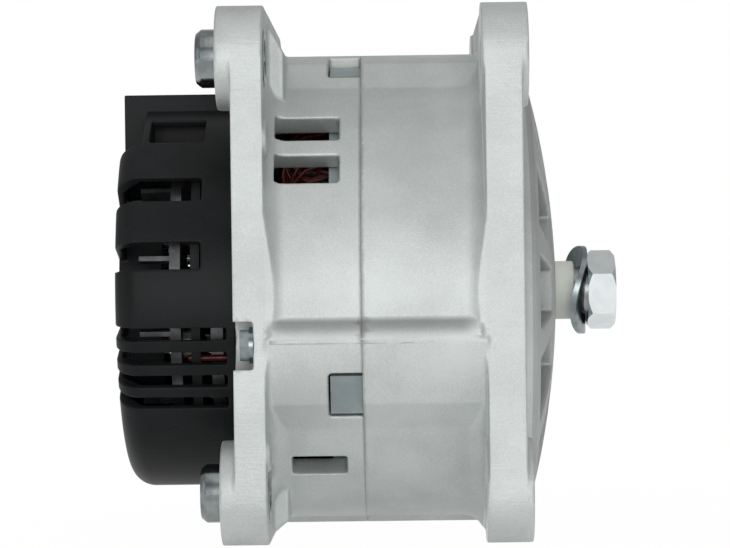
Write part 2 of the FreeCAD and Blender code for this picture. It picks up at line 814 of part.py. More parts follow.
def make_stator_core():
    body = new_body("stator_core")
    tube(body, stack_rear, stack_front, "stack_bore_radius", "stack_radius")
    for turn in side_bosses:
        raised(body, stack_rear, stack_front, draw_outline,
               lug_sector(turn, "stack_radius - lug_root", "lug_radius", "lug_half_angle"))
    slot = sunk(body, stack_rear, stack_front, draw_outline, [
        ("stack_bore_radius - overrun", "-slot_mouth_half_width"),
        ("slot_mouth_radius", "-slot_mouth_half_width"),
        ("slot_mouth_radius + slot_shoulder", "-slot_half_width"),
        ("slot_outer_radius", "-slot_half_width"),
        ("slot_outer_radius", "slot_half_width"),
        ("slot_mouth_radius + slot_shoulder", "slot_half_width"),
        ("slot_mouth_radius", "slot_mouth_half_width"),
        ("stack_bore_radius - overrun", "slot_mouth_half_width"),
    ])
    ringed(body, [slot], "slot_count")
    place(body)


def crown(start, end):
    """The outline of one end of the winding, outside the stack."""
    inner = "crown_inner_radius"
    outer = "crown_outer_radius"
    return [
        (start, inner), (f"{end} - crown_corner", inner, "crown_bend_radius", 1),
        (end, f"{inner} + crown_corner"), (end, f"{outer} - crown_corner", "crown_bend_radius", 1),
        (f"{end} - crown_corner", outer), (start, outer),
    ]


def make_stator_winding():
    body = new_body("stator_winding")
    bar = raised(body, f"{stack_rear} - winding_bar_reach", f"{stack_front} + winding_bar_reach",
                 draw_outline, rectangle(
        "slot_mouth_radius + slot_shoulder + winding_gap", "slot_outer_radius - winding_gap",
        "-slot_half_width + winding_gap", "slot_half_width - winding_gap"))
    ringed(body, [bar], "slot_count")
    front = f"{stack_front} + winding_gap"
    turned(body, crown(front, f"{stack_front} + winding_front_overhang"))
    turned(body, [
        (f"{stack_rear} - winding_gap", "crown_inner_radius"),
        (f"{stack_rear} - winding_gap", "crown_outer_radius"),
        (f"{stack_rear} - winding_rear_overhang + crown_corner", "crown_outer_radius"),
        (f"{stack_rear} - winding_rear_overhang", "crown_outer_radius - crown_corner"),
        (f"{stack_rear} - winding_rear_overhang", "crown_inner_radius + crown_corner"),
        (f"{stack_rear} - winding_rear_overhang + crown_corner", "crown_inner_radius"),
    ])
    place(body)


# Bearings. Both come from the same function, with their own sizes


def make_bearing(end, bore, outer, width, ball, count, start):
    """A sealed ball bearing from its bore and outer radius, width, ball, and the plane of its rear face."""
    middle = f"(({bore} + {outer}) / 2)"
    half = f"({width} / 2)"
    groove = f"({ball} + ball_gap)"
    inner_reach = f"({middle} - {ball} * race_shoulder)"
    outer_reach = f"({middle} + {ball} * race_shoulder)"
    half_groove = f"sqrt({groove}^2 - ({ball} * race_shoulder)^2)"
    centre = f"{start} + {half} - seat_to_split"

    inner = new_body(f"{end}_bearing_inner_ring")
    turned(inner, [
        (f"-{half}", f"{bore} + journal_fit"), (half, f"{bore} + journal_fit"), (half, inner_reach),
        (half_groove, inner_reach, groove, -1), (f"-{half_groove}", inner_reach), (f"-{half}", inner_reach),
    ])
    place(inner, centre)

    ring = new_body(f"{end}_bearing_outer_ring")
    turned(ring, [
        (f"-{half}", outer_reach), (f"-{half_groove}", outer_reach, groove, -1),
        (half_groove, outer_reach), (half, outer_reach), (half, outer), (f"-{half}", outer),
    ])
    place(ring, centre)

    balls = new_body(f"{end}_bearing_balls")
    sphere = turned(balls, half_disc(ball, middle), axis_rise=middle)
    ringed(balls, [sphere], count)
    place(balls, centre)

    cage = new_body(f"{end}_bearing_cage")
    tube(cage, "-cage_half_width", "cage_half_width", f"{middle} - cage_half_depth",
         f"{middle} + cage_half_depth")
    pocket_radius = f"({ball} + cage_ball_gap)"
    pocket = turned(cage, half_disc(pocket_radius, middle), cut=True, axis_rise=middle)
    ringed(cage, [pocket], count)
    place(cage, centre)

    seals = new_body(f"{end}_bearing_seals")
    for first, last in ((f"-{half}", f"-{half} + seal_thickness"), (f"{half} - seal_thickness", half)):
        tube(seals, first, last, f"{inner_reach} + seal_gap", outer_reach)
    place(seals, centre)


def make_bearing_seats():
    liner = new_body("rear_bearing_liner")
    tube(liner, rear_bearing_back, "-rear_bearing_front", "rear_bearing_outer_radius", liner_radius)
    place(liner)

    plate_back = f"({front_boss_back} - retainer_thickness)"
    plate = new_body("bearing_retainer")
    turned(plate, [
        (plate_back, "retainer_inner_radius"),
        (front_bearing_back, "retainer_inner_radius"),
        (front_bearing_back, "front_bearing_outer_radius - journal_fit"),
        (front_boss_back, "front_bearing_outer_radius - journal_fit"),
        (front_boss_back, "retainer_outer_radius"),
        (plate_back, "retainer_outer_radius"),
    ])
    spot = polar("retainer_screw_circle", "screw_ring_turn")
    hole = sunk(plate, plate_back, front_boss_back, draw_circles,
                [(*spot, "retainer_screw_radius + thread_gap")])
    ringed(plate, [hole], "retainer_screw_count")
    place(plate)

    screws = new_body("retainer_screws")
    shank = raised(screws, plate_back, f"{plate_back} + retainer_screw_length", draw_circles,
                   [(*spot, "retainer_screw_radius")])
    head = raised(screws, f"{plate_back} - retainer_screw_head_height", plate_back, draw_circles,
                  [(*spot, "retainer_screw_head_radius")])
    ringed(screws, [shank, head], "retainer_screw_count")
    place(screws)


# Rotor: shaft, two claw poles, the field coil on its bobbin, and the fans

rotor_rear = "(-rotor_rear_face)"
core_rear = "(pole_disc_thickness - rotor_rear_face)"
core_front = f"({core_rear} + rotor_core_length)"
rotor_front = f"({core_front} + pole_disc_thickness)"
shaft_front = "(nut_start + nut_height)"


def make_shaft():
    body = new_body("shaft")
    turned(body, [
        ("-shaft_rear_reach", "0"),
        ("-shaft_rear_reach", "ring_journal_radius - shaft_chamfer"),
        ("-shaft_rear_reach + shaft_chamfer", "ring_journal_radius"),
        ("-slip_hub_start", "ring_journal_radius"),
        ("-slip_hub_start", "rear_journal_radius"),
        ("-rear_bearing_front", "rear_journal_radius"),
        ("-rear_bearing_front", "core_journal_radius"),
        (f"{front_bearing_back} - collar_width", "core_journal_radius"),
        (f"{front_bearing_back} - collar_width", "collar_radius"),
        (front_bearing_back, "collar_radius"),
        (front_bearing_back, "front_journal_radius"),
        ("seat_to_split", "front_journal_radius"),
        ("seat_to_split", "seat_journal_radius"),
        ("sleeve_end - thread_run", "seat_journal_radius"),
        ("sleeve_end - thread_run", "thread_radius"),
        (f"{shaft_front} - shaft_chamfer", "thread_radius"),
        (shaft_front, "thread_radius - shaft_chamfer"),
        (shaft_front, "0"),
    ])
    place(body)


def make_claw_pole(name, outer_face, inner_face, core_middle, tip, turn):
    """A pole half: its disc, its half of the core and its fingers, which narrow towards their tips."""
    body = new_body(name)
    bore = "core_journal_radius"
    turned(body, [
        (outer_face, bore), (core_middle, bore), (core_middle, "field_core_radius"),
        (inner_face, "field_core_radius"), (inner_face, "pole_disc_radius"),
        (outer_face, "pole_disc_radius"),
    ])
    root = new_sketch(body, f"{name}_root", offset=outer_face)
    draw_outline(root, sector("finger_root_inner", "rotor_radius",
                              "-finger_root_half_angle", "finger_root_half_angle"))
    end = new_sketch(body, f"{name}_tip", offset=tip)
    draw_outline(end, sector("finger_tip_inner", "rotor_radius",
                             "-finger_tip_half_angle", "finger_tip_half_angle"))
    finger = body.newObject("PartDesign::AdditiveLoft", f"{name}_finger")
    finger.Profile = root
    finger.Sections = [end]
    finger.Ruled = True
    document.recompute()
    ringed(body, [finger], "pole_count")
    place(body, turn=turn)


def make_field_coil():
    bobbin = new_body("field_bobbin")
    rear = f"({core_rear} + winding_gap)"
    front = f"({core_front} - winding_gap)"
    barrel = "(field_core_radius + bobbin_wall)"
    turned(bobbin, [
        (rear, "field_core_radius"), (front, "field_core_radius"), (front, "bobbin_outer_radius"),
        (f"{front} - bobbin_wall", "bobbin_outer_radius"), (f"{front} - bobbin_wall", barrel),
        (f"{rear} + bobbin_wall", barrel), (f"{rear} + bobbin_wall", "bobbin_outer_radius"),
        (rear, "bobbin_outer_radius"),
    ])
    place(bobbin)
    coil = new_body("field_coil")
    tube(coil, f"{rear} + bobbin_wall", f"{front} - bobbin_wall", barrel, "coil_outer_radius")
    place(coil)


def make_fan(name, plate_start, plate_end, blade_start, blade_end):
    body = new_body(name)
    tube(body, plate_start, plate_end, "core_journal_radius", "fan_plate_radius")
    blade = raised(body, blade_start, blade_end, draw_outline, [
        polar("fan_blade_inner", "fan_blade_root_spread"), polar("fan_blade_inner", "0"),
        polar("fan_radius", "fan_blade_lean"), polar("fan_radius", "fan_blade_lean + fan_blade_tip_spread"),
    ])
    ringed(body, [blade], "fan_blade_count")
    place(body)


# Slip rings and brush gear

ring_starts = {"inner": "inner_ring_start", "outer": "outer_ring_start"}


def make_slip_rings():
    hub = new_body("slip_ring_hub")
    tube(hub, "-slip_hub_start - slip_hub_length", "-slip_hub_start", "ring_journal_radius", "slip_hub_radius")
    place(hub)
    for name, start in ring_starts.items():
        ring = new_body(f"{name}_slip_ring")
        tube(ring, f"-{start} - slip_ring_width", f"-{start}", "slip_hub_radius", "slip_ring_radius")
        place(ring)


brush_low = "(slip_ring_radius + brush_gap)"
brush_high = f"({brush_low} + brush_length)"
spring_high = f"({brush_high} + brush_spring_length)"


def make_brushes():
    holder = new_body("brush_holder")
    middle = "((inner_ring_start + outer_ring_start + slip_ring_width) / 2)"
    side = "(brush_depth / 2 + brush_clearance + holder_wall)"
    raised(holder, "slip_ring_radius + holder_lift", "box_floor", draw_outline, rectangle(
        f"-{middle} - holder_length / 2", f"-{middle} + holder_length / 2", f"-{side}", side),
        role="XY_Plane")
    for name, start in ring_starts.items():
        centre = f"(-{start} - slip_ring_width / 2)"
        sunk(holder, "slip_ring_radius", spring_high, draw_outline, rectangle(
            f"{centre} - brush_width / 2 - brush_clearance", f"{centre} + brush_width / 2 + brush_clearance",
            "-brush_depth / 2 - brush_clearance", "brush_depth / 2 + brush_clearance"), role="XY_Plane")
        brush = new_body(f"{name}_brush")
        raised(brush, brush_low, brush_high, draw_outline, rectangle(
            f"{centre} - brush_width / 2", f"{centre} + brush_width / 2",
            "-brush_depth / 2", "brush_depth / 2"), role="XY_Plane")
        place(brush)
        make_brush_spring(name, centre)
    place(holder)


def make_brush_spring(name, centre):
    """A coil spring that stands on the brush, under the closed end of its shaft in the holder."""
    spring = new_body(f"{name}_brush_spring")
    wire = new_sketch(spring, f"{name}_wire", "XZ_Plane")
    draw_circles(wire, [(
        "brush_spring_radius", f"{brush_high} + brush_spring_wire", "brush_spring_wire",
    )])
    coil = spring.newObject("PartDesign::AdditiveHelix", f"{name}_coil")
    coil.Profile = wire
    coil.ReferenceAxis = (wire, ["V_Axis"])
    coil.Mode = 1
    bind(coil, "Pitch", "(brush_spring_length - 2 * brush_spring_wire) / brush_spring_turns")
    bind(coil, "Turns", "brush_spring_turns")
    bind(coil, "Height", "brush_spring_length - 2 * brush_spring_wire")
    document.recompute()
    place(spring, f"{centre} - seat_to_split")


# Rectifier: two diode plates with the connection board between them

negative_rear = "(-negative_plate_start - negative_plate_thickness)"
positive_rear = "(-positive_plate_start - positive_plate_thickness)"
board_rear = "(-board_start - board_thickness)"
plate_first = "(plate_open_half_angle - 270)"
plate_last = "(90 - plate_open_half_angle)"


def add_plate_holes(body, start, end, lead_gap):
    """Clears the mounting screws and the phase leads through a plate."""
    spot = polar("rectifier_screw_circle", "rectifier_screw_first")
    screw = sunk(body, start, end, draw_circles, [(*spot, "rectifier_screw_radius + bolt_clearance")])
    ringed(body, [screw], "rectifier_screw_count", "rectifier_screw_step")
    spot = polar("phase_lead_circle", "phase_lead_first")
    lead = sunk(body, start, end, draw_circles, [(*spot, f"phase_lead_radius + {lead_gap}")])
    ringed(body, [lead], "phase_lead_count", "phase_lead_step")


def make_plate(name, start, end, outer, circle):
    body = new_body(name)
    raised(body, start, end, draw_outline, sector("plate_inner_radius", outer, plate_first, plate_last, 2))
    spot = polar(circle, "diode_first_angle")
    hole = sunk(body, start, end, draw_circles, [(*spot, "diode_radius + diode_fit")])
    ringed(body, [hole], "diode_count", "diode_step")
    return body


def make_diodes(name, start, end, circle, pin_end):
    body = new_body(name)
    spot = polar(circle, "diode_first_angle")
    can = raised(body, start, end, draw_circles, [(*spot, "diode_radius")])
    first, last = pin_end
    pin = raised(body, first, last, draw_circles, [(*spot, "diode_pin_radius")])
    ringed(body, [can, pin], "diode_count", "diode_step")
    place(body)


def make_rectifier():
    negative = make_plate("negative_heatsink", negative_rear, "-negative_plate_start",
                          "negative_plate_outer_radius", "negative_diode_circle")
    add_plate_holes(negative, negative_rear, "-negative_plate_start", "phase_lead_gap")
    place(negative)

    positive = make_plate("positive_heatsink", positive_rear, "-positive_plate_start",
                          "positive_plate_outer_radius", "positive_diode_circle")
    spot = polar("rectifier_screw_circle", "rectifier_screw_first")
    screw = sunk(positive, positive_rear, "-positive_plate_start", draw_circles,
                 [(*spot, "rectifier_screw_radius + bolt_clearance")])
    ringed(positive, [screw], "rectifier_screw_count", "rectifier_screw_step")
    fin_spread = "(rectifier_fin_thickness / positive_plate_outer_radius * 180 / pi / 2)"
    first_fin = f"({plate_first} + rectifier_fin_step / 2)"
    fin = raised(positive, f"{positive_rear} - rectifier_fin_height", f"{positive_rear} + overrun",
                 draw_outline, sector(
                     "rectifier_fin_inner", "positive_plate_outer_radius - rectifier_fin_inset",
                     f"{first_fin} - {fin_spread}", f"{first_fin} + {fin_spread}"))
    ringed(positive, [fin], "rectifier_fin_count", "rectifier_fin_step")
    place(positive)

    negative_front = f"({negative_rear} + diode_height)"
    make_diodes("negative_diodes", negative_rear, negative_front, "negative_diode_circle",
                (f"{board_rear} - diode_pin_proud", negative_rear))
    make_diodes("positive_diodes", positive_rear, board_rear, "positive_diode_circle",
                (board_rear, "-board_start + diode_pin_proud"))

    board = new_body("rectifier_board")
    raised(board, board_rear, "-board_start", draw_outline,
           sector("plate_inner_radius", "board_outer_radius", plate_first, plate_last, 2))
    add_plate_holes(board, board_rear, "-board_start", "thread_gap")
    for circle in ("negative_diode_circle", "positive_diode_circle"):
        hole = sunk(board, board_rear, "-board_start", draw_circles,
                    [(*polar(circle, "diode_first_angle"), "diode_pin_radius + thread_gap")])
        ringed(board, [hole], "diode_count", "diode_step")
    place(board)

    screws = new_body("rectifier_screws")
    shank = raised(screws, positive_rear, f"{rear_face} + rectifier_screw_depth", draw_circles,
                   [(*spot, "rectifier_screw_radius")])
    head = raised(screws, f"{positive_rear} - rectifier_screw_head_height", positive_rear, draw_circles,
                  [(*spot, "rectifier_screw_head_radius")])
    ringed(screws, [shank, head], "rectifier_screw_count", "rectifier_screw_step")
    place(screws)

    spacers = new_body("rectifier_spacers")
    pieces = []
    stretches = (("-positive_plate_start", board_rear), ("-board_start", negative_rear),
                 ("-negative_plate_start", rear_face))
    for first, last in stretches:
        pieces.append(raised(spacers, first, last, draw_circles, [
            (*spot, "rectifier_spacer_radius"), (*spot, "rectifier_screw_radius + bolt_clearance")]))
    ringed(spacers, pieces, "rectifier_screw_count", "rectifier_screw_step")
    place(spacers)


def make_phase_leads():
    body = new_body("phase_leads")
    lead = raised(body, f"{board_rear} - diode_pin_proud", f"{stack_rear} - winding_rear_overhang",
                  draw_circles, [(*polar("phase_lead_circle", "phase_lead_first"), "phase_lead_radius")])
    ringed(body, [lead], "phase_lead_count", "phase_lead_step")
    place(body)


# Rear cover, a cup with slots along its sides that run on over its end

cover_rear = f"({rear_face} - cover_length)"
cover_inside = f"({cover_rear} + cover_wall)"
cover_inner_radius = "(cover_radius - cover_wall)"


def left_slots():
    """Each slot on the left side: its first and last angle, and how far forward it ends."""
    slots = [
        (f"{row}_slot_start", f"{row}_slot_start + wide_slot_spread", "cover_short_slot_end")
        for row in ("upper", "middle")
    ]
    for number in range(int(value_of("narrow_slot_count"))):
        first = f"narrow_slot_start - narrow_slot_step * {number}"
        slots.append((first, f"{first} + narrow_slot_spread", "cover_long_slot_end"))
    return slots


def add_cover_recess(body):
    """The walled step in the cover's rear corner beside the terminal box, and the window ahead of it."""
    floor = "(-recess_floor)"
    raised(body, cover_inside, f"{floor} + cover_wall", draw_outline, sector(
        "cover_slot_inner - cover_wall", f"{cover_inner_radius} + recess_overlap",
        "recess_first - recess_side", "recess_last"))
    sunk(body, f"{cover_rear} - overrun", floor, draw_outline, sector(
        "cover_slot_inner", "cover_radius + overrun", "recess_first", "recess_last"))
    sunk(body, f"{floor} + cover_wall", "-cover_short_slot_end", draw_outline, sector(
        f"{cover_inner_radius} - overrun", "cover_radius + overrun",
        "recess_window_first", "recess_window_last"))


def make_rear_cover():
    body = new_body("rear_cover")
    turned(body, [
        (cover_rear, "0"),
        (cover_inside, "0"),
        (cover_inside, "cover_radius - cover_corner"),
        (f"{cover_rear} + cover_corner", cover_inner_radius),
        (rear_face, cover_inner_radius),
        (rear_face, "cover_radius"),
        (f"{cover_rear} + cover_corner", "cover_radius", "cover_corner", 1),
        (cover_rear, "cover_radius - cover_corner"),
    ])
    for first, last, end in left_slots():
        for low, high in ((first, last), (f"half_turn - ({last})", f"half_turn - ({first})")):
            sunk(body, f"{cover_rear} - overrun", f"-{end}", draw_outline,
                 sector("cover_slot_inner", "cover_radius + overrun", low, high))
    add_cover_recess(body)
    hub = sector("cover_slot_inner - cover_wall", "cover_slot_inner", plate_first, plate_last, 2)
    raised(body, cover_inside, "-cover_hub_reach", draw_outline, hub)
    sunk(body, f"{cover_rear} - overrun", rear_face, draw_outline, rectangle(
        "-box_left - box_fit", "box_right + box_fit", "box_floor - box_fit", "cover_radius + overrun"))
    spot = polar("cover_screw_circle", "screw_ring_turn")
    hole = sunk(body, f"{cover_rear} - overrun", cover_inside, draw_circles,
                [(*spot, "cover_screw_radius + bolt_clearance")])
    ringed(body, [hole], "cover_screw_count")
    place(body)


def make_cover_fixings():
    spot = polar("cover_screw_circle", "screw_ring_turn")
    screw_end = f"({cover_inside} + cover_screw_length)"
    posts = new_body("cover_posts")
    post = raised(posts, cover_inside, f"{rear_face} - rear_boss_back_reach", draw_outline,
                  hexagon("cover_post_across_flats", *spot))
    hole = sunk(posts, cover_inside, screw_end, draw_circles, [(*spot, "cover_screw_radius + thread_gap")])
    ringed(posts, [post, hole], "cover_screw_count")
    place(posts)
    screws = new_body("cover_screws")
    shank = raised(screws, cover_rear, screw_end, draw_circles, [(*spot, "cover_screw_radius")])
    head = raised(screws, f"{cover_rear} - cover_screw_head_height", cover_rear, draw_circles,
                  [(*spot, "cover_screw_head_radius")])
    ringed(screws, [shank, head], "cover_screw_count")
    place(screws)


# Terminal box on top of the cover, with the output stud, the signal pins and the regulator

box_front = f"({rear_face} - box_front_gap)"
stud_recess_floor = "(-stud_recess_start)"
box_hollow_rear = "(-stud_recess_start + box_wall)"


def make_terminal_box():
    body = new_body("terminal_box")
    raised(body, cover_rear, box_front, draw_outline,
           rectangle("-box_left", "box_right", "box_floor", "box_top"))
    sunk(body, box_hollow_rear, box_front, draw_outline, rectangle(
        "-box_left + box_wall", "box_right - box_wall", "box_floor + box_wall", "box_top - box_wall"))
    sunk(body, f"{cover_rear} - overrun", stud_recess_floor, draw_outline, rectangle(
        "stud_across - stud_recess_half_width", "stud_across + stud_recess_half_width",
        "stud_rise - stud_recess_drop", "box_top + overrun"))
    sunk(body, f"{cover_rear} - overrun", f"{cover_rear} + socket_depth", draw_outline, rectangle(
        "socket_across - socket_half_width", "socket_across + socket_half_width",
        "socket_rise - socket_half_height", "socket_rise + socket_half_height"))
    sunk(body, stud_recess_floor, box_hollow_rear, draw_circles,
         [("stud_across", "stud_rise", "stud_radius + thread_gap")])
    sunk(body, "-positive_plate_start - busbar_gap", "-positive_plate_start + busbar_thickness + busbar_gap",
         draw_outline, rectangle("stud_across - busbar_half_width - busbar_gap", "box_right - box_wall",
                                 "box_floor - overrun", "box_floor + box_wall"))
    for across in pin_places():
        sunk(body, f"{cover_rear} + socket_depth", box_hollow_rear, draw_outline, rectangle(
            f"{across} - pin_width / 2", f"{across} + pin_width / 2",
            "socket_rise - pin_thickness / 2", "socket_rise + pin_thickness / 2"))
    place(body)


def pin_places():
    """How far across each signal pin stands."""
    count = int(value_of("pin_count"))
    return [f"(socket_across + pin_pitch * ({number} - (pin_count - 1) / 2))" for number in range(count)]


def make_terminals():
    stud = new_body("output_stud")
    raised(stud, "-stud_rear_reach", box_hollow_rear, draw_circles,
           [("stud_across", "stud_rise", "stud_radius")])
    raised(stud, box_hollow_rear, "-positive_plate_start", draw_outline,
           hexagon("stud_nut_across_flats", "stud_across", "stud_rise"))
    place(stud)

    washer = new_body("output_washer")
    raised(washer, f"{stud_recess_floor} - stud_washer_thickness", stud_recess_floor, draw_circles, [
        ("stud_across", "stud_rise", "stud_washer_radius"),
        ("stud_across", "stud_rise", "stud_radius + bolt_clearance")])
    place(washer)

    nut = new_body("output_nut")
    nut_rear = f"{stud_recess_floor} - stud_washer_thickness - stud_nut_height"
    nut_front = f"{stud_recess_floor} - stud_washer_thickness"
    raised(nut, nut_rear, nut_front, draw_outline,
           hexagon("stud_nut_across_flats", "stud_across", "stud_rise"))
    sunk(nut, nut_rear, nut_front, draw_circles, [("stud_across", "stud_rise", "stud_radius + thread_gap")])
    place(nut)

    foot = "busbar_foot_angle"
    foot_end = "(plate_inner_radius + busbar_foot_length)"
    busbar = new_body("output_busbar")
    raised(busbar, "-positive_plate_start", "-positive_plate_start + busbar_thickness", draw_outline, [
        ("stud_across - busbar_half_width", "stud_rise + busbar_half_width"),
        ("stud_across - busbar_half_width", "box_floor - box_wall"),
        (f"plate_inner_radius * cos({foot})", f"plate_inner_radius * sin({foot})"),
        (f"{foot_end} * cos({foot})", f"{foot_end} * sin({foot})"),
        ("stud_across + busbar_half_width", "box_floor - box_wall"),
        ("stud_across + busbar_half_width", "stud_rise + busbar_half_width"),
    ])
    place(busbar)

    pins = new_body("signal_pins")
    for across in pin_places():
        raised(pins, f"{cover_rear} + socket_depth - pin_length", f"{box_hollow_rear} + pin_root",
               draw_outline, rectangle(
                   f"{across} - pin_width / 2", f"{across} + pin_width / 2",
                   "socket_rise - pin_thickness / 2", "socket_rise + pin_thickness / 2"))
    place(pins)

    regulator = new_body("regulator")
    rear = f"{box_hollow_rear} + pin_root"
    front = f"{box_front} - box_wall"
    raised(regulator, rear, front, draw_outline, rectangle(
        "-box_left + box_wall", "-box_left + box_wall + regulator_width",
        "box_floor + box_wall", "box_floor + box_wall + regulator_height"))
    place(regulator)


# Mounting bushes, which slide in the rear ears


def make_mount_bushes():
    for level, rise in ear_up.items():
        for side, across in ear_across.items():
            body = new_body(f"{level}_{side}_bush")
            rear = f"({rear_ear_back} - bush_back_reach)"
            front = f"({rear} + bush_length)"
            turned(body, [
                (rear, "mount_bolt_hole_radius"), (front, "mount_bolt_hole_radius"), (front, "bush_radius"),
                (f"{rear} + bush_chamfer", "bush_radius"), (rear, "bush_radius - bush_chamfer_drop"),
            ])
            place(body)
            bind(body, "Placement.Base.y", across)
            bind(body, "Placement.Base.z", rise)


# Front end of the shaft: sleeve, curved spring washer and nut


def make_shaft_end():
    sleeve = new_body("shaft_sleeve")
    bore = "seat_journal_radius + sleeve_fit"
    turned(sleeve, [
        ("seat_to_split", bore), ("sleeve_end", bore), ("sleeve_end", "sleeve_radius - sleeve_chamfer"),
        ("sleeve_end - sleeve_chamfer", "sleeve_radius"), ("seat_to_split", "sleeve_radius"),
    ])
    place(sleeve)

    nut = new_body("shaft_nut")
    nut_end = "(nut_start + nut_height)"
    raised(nut, "nut_start", nut_end, draw_outline, hexagon("nut_across_flats"))
    sunk(nut, "nut_start", nut_end, draw_circles, [("0", "0", "thread_radius + thread_gap")])
    corner = "(nut_across_flats / sqrt(3) + overrun)"
    for face, inward in (("nut_start", "+"), (nut_end, "-")):
        slope = f"{face} {inward} nut_chamfer_run * ({corner} - nut_chamfer_radius)"
        turned(nut, [(face, "nut_chamfer_radius"), (slope, corner), (face, corner)], cut=True)
    place(nut, turn="nut_turn")

    make_spring_washer()


def make_spring_washer():
    """A round washer bent about one of its diameters, so that its middle meets the nut."""
    bend_outside = document.addObject("Part::Cylinder", "washer_bend_outside")
    bend_inside = document.addObject("Part::Cylinder", "washer_bend_inside")
    bind(bend_outside, "Radius", "washer_bend_radius")
    bind(bend_inside, "Radius", "washer_bend_radius - washer_thickness")
    for cylinder in (bend_outside, bend_inside):
        bind(cylinder, "Height", "washer_outer_radius * 4")
        bind(cylinder, "Placement.Base.x", "nut_start - washer_nut_gap - washer_bend_radius")
        bind(cylinder, "Placement.Base.z", "-washer_outer_radius * 2")
    bent = document.addObject("Part::Cut", "washer_bent_sheet")
    bent.Base = bend_outside
    bent.Tool = bend_inside
    blank = document.addObject("Part::Cylinder", "washer_blank")
    bore = document.addObject("Part::Cylinder", "washer_bore")
    bind(blank, "Radius", "washer_outer_radius")
    bind(bore, "Radius", "washer_inner_radius")
    for cylinder in (blank, bore):
        bind(cylinder, "Height", "washer_bend_radius")
        bind(cylinder, "Placement.Base.x", "nut_start - washer_bend_radius")
        cylinder.Placement.Rotation = Rotation(Vector(0, 1, 0), 90)
    ring = document.addObject("Part::Cut", "washer_ring")
    ring.Base = blank
    ring.Tool = bore
    washer = document.addObject("Part::Common", "spring_washer")
    washer.Label = "spring_washer"
    washer.Base = bent
    washer.Tool = ring
    document.recompute()
    subparts["spring_washer"] = washer
    place(washer, turn="washer_turn")


make_front_housing()
make_rear_housing()
make_through_bolts()
make_stator_core()
make_stator_winding()
make_bearing("front", "front_journal_radius", "front_bearing_outer_radius", "front_bearing_width",
             "front_ball_radius", "front_ball_count", front_bearing_back)
make_bearing("rear", "rear_journal_radius", "rear_bearing_outer_radius", "rear_bearing_width",
             "rear_ball_radius", "rear_ball_count", rear_bearing_back)
make_bearing_seats()
make_shaft()
core_middle = f"(({core_rear} + {core_front}) / 2)"
make_claw_pole("rear_claw_pole", rotor_rear, core_rear, core_middle,
               f"({rotor_front} - finger_tip_gap)", "0")
make_claw_pole("front_claw_pole", rotor_front, core_front, core_middle,
               f"({rotor_rear} + finger_tip_gap)", "180 / pole_count")
make_field_coil()
make_fan("front_fan", rotor_front, f"{rotor_front} + fan_plate", f"{rotor_front} + fan_plate",
         f"{rotor_front} + front_fan_width")
make_fan("rear_fan", f"{rotor_rear} - fan_plate", rotor_rear, f"{rotor_rear} - rear_fan_width",
         f"{rotor_rear} - fan_plate")
make_slip_rings()
make_brushes()
make_rectifier()
make_phase_leads()
make_rear_cover()
make_cover_fixings()
make_terminal_box()
make_terminals()
make_mount_bushes()
make_shaft_end()

document.recompute()
failed = [item.Label for item in document.Objects if {"Invalid", "Error"} & set(item.State)]
if failed:
    raise ValueError(f"these did not build: {failed}")
os.makedirs("parts", exist_ok=True)
for name, item in subparts.items():
    shape = item.Shape
    if shape.isNull() or not shape.isValid():
        raise ValueError(f"{name} has no valid shape")
    shape.exportStep(f"parts/{name}.step")
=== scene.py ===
"""Alternator head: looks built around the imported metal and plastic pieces.

Blender's lengths are metres, in the row frame: X runs along the shaft towards the nut, Z is up, and -Y
points to the camera. Sizes held by the classes are millimetres unless they say otherwise, and their X is
counted from the plane between the two housings.
"""

import json
import logging
import math
from dataclasses import dataclass
from enum import Enum
from typing import Any, Optional, Sequence, Union

import bpy
import numpy as np
from mathutils import Matrix, Vector


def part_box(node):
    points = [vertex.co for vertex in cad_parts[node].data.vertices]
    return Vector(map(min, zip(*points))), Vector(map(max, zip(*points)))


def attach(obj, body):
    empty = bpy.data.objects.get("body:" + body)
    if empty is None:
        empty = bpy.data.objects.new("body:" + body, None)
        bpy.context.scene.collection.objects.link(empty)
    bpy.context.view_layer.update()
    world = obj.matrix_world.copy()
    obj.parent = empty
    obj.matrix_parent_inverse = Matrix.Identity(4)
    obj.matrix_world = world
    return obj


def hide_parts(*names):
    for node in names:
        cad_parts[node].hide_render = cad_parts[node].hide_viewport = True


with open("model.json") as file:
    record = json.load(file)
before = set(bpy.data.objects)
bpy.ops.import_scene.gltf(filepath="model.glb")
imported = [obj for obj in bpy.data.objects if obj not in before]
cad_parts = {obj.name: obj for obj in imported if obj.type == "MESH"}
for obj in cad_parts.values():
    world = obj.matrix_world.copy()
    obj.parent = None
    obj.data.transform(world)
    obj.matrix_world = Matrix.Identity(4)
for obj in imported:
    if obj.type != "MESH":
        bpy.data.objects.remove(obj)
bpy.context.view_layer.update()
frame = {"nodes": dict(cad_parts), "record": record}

LOG = logging.getLogger("alternator")
MM = 0.001
SPLIT = -61.0

MIX_SHARE = 0
MIX_FIRST = 6
MIX_SECOND = 7
MIX_RESULT = 2

Colour = tuple[float, float, float]
Pair = tuple[float, float]
Value = Union[float, "Socket"]


def at(x: float, y: float, z: float) -> Vector:
    """Gives the point in metres of a place in millimetres."""
    return Vector((row_x(x), y * MM, z * MM))


def row_x(x: float) -> float:
    """Gives the row frame's X in metres of a distance from the plane between the housings."""
    return (x + SPLIT) * MM


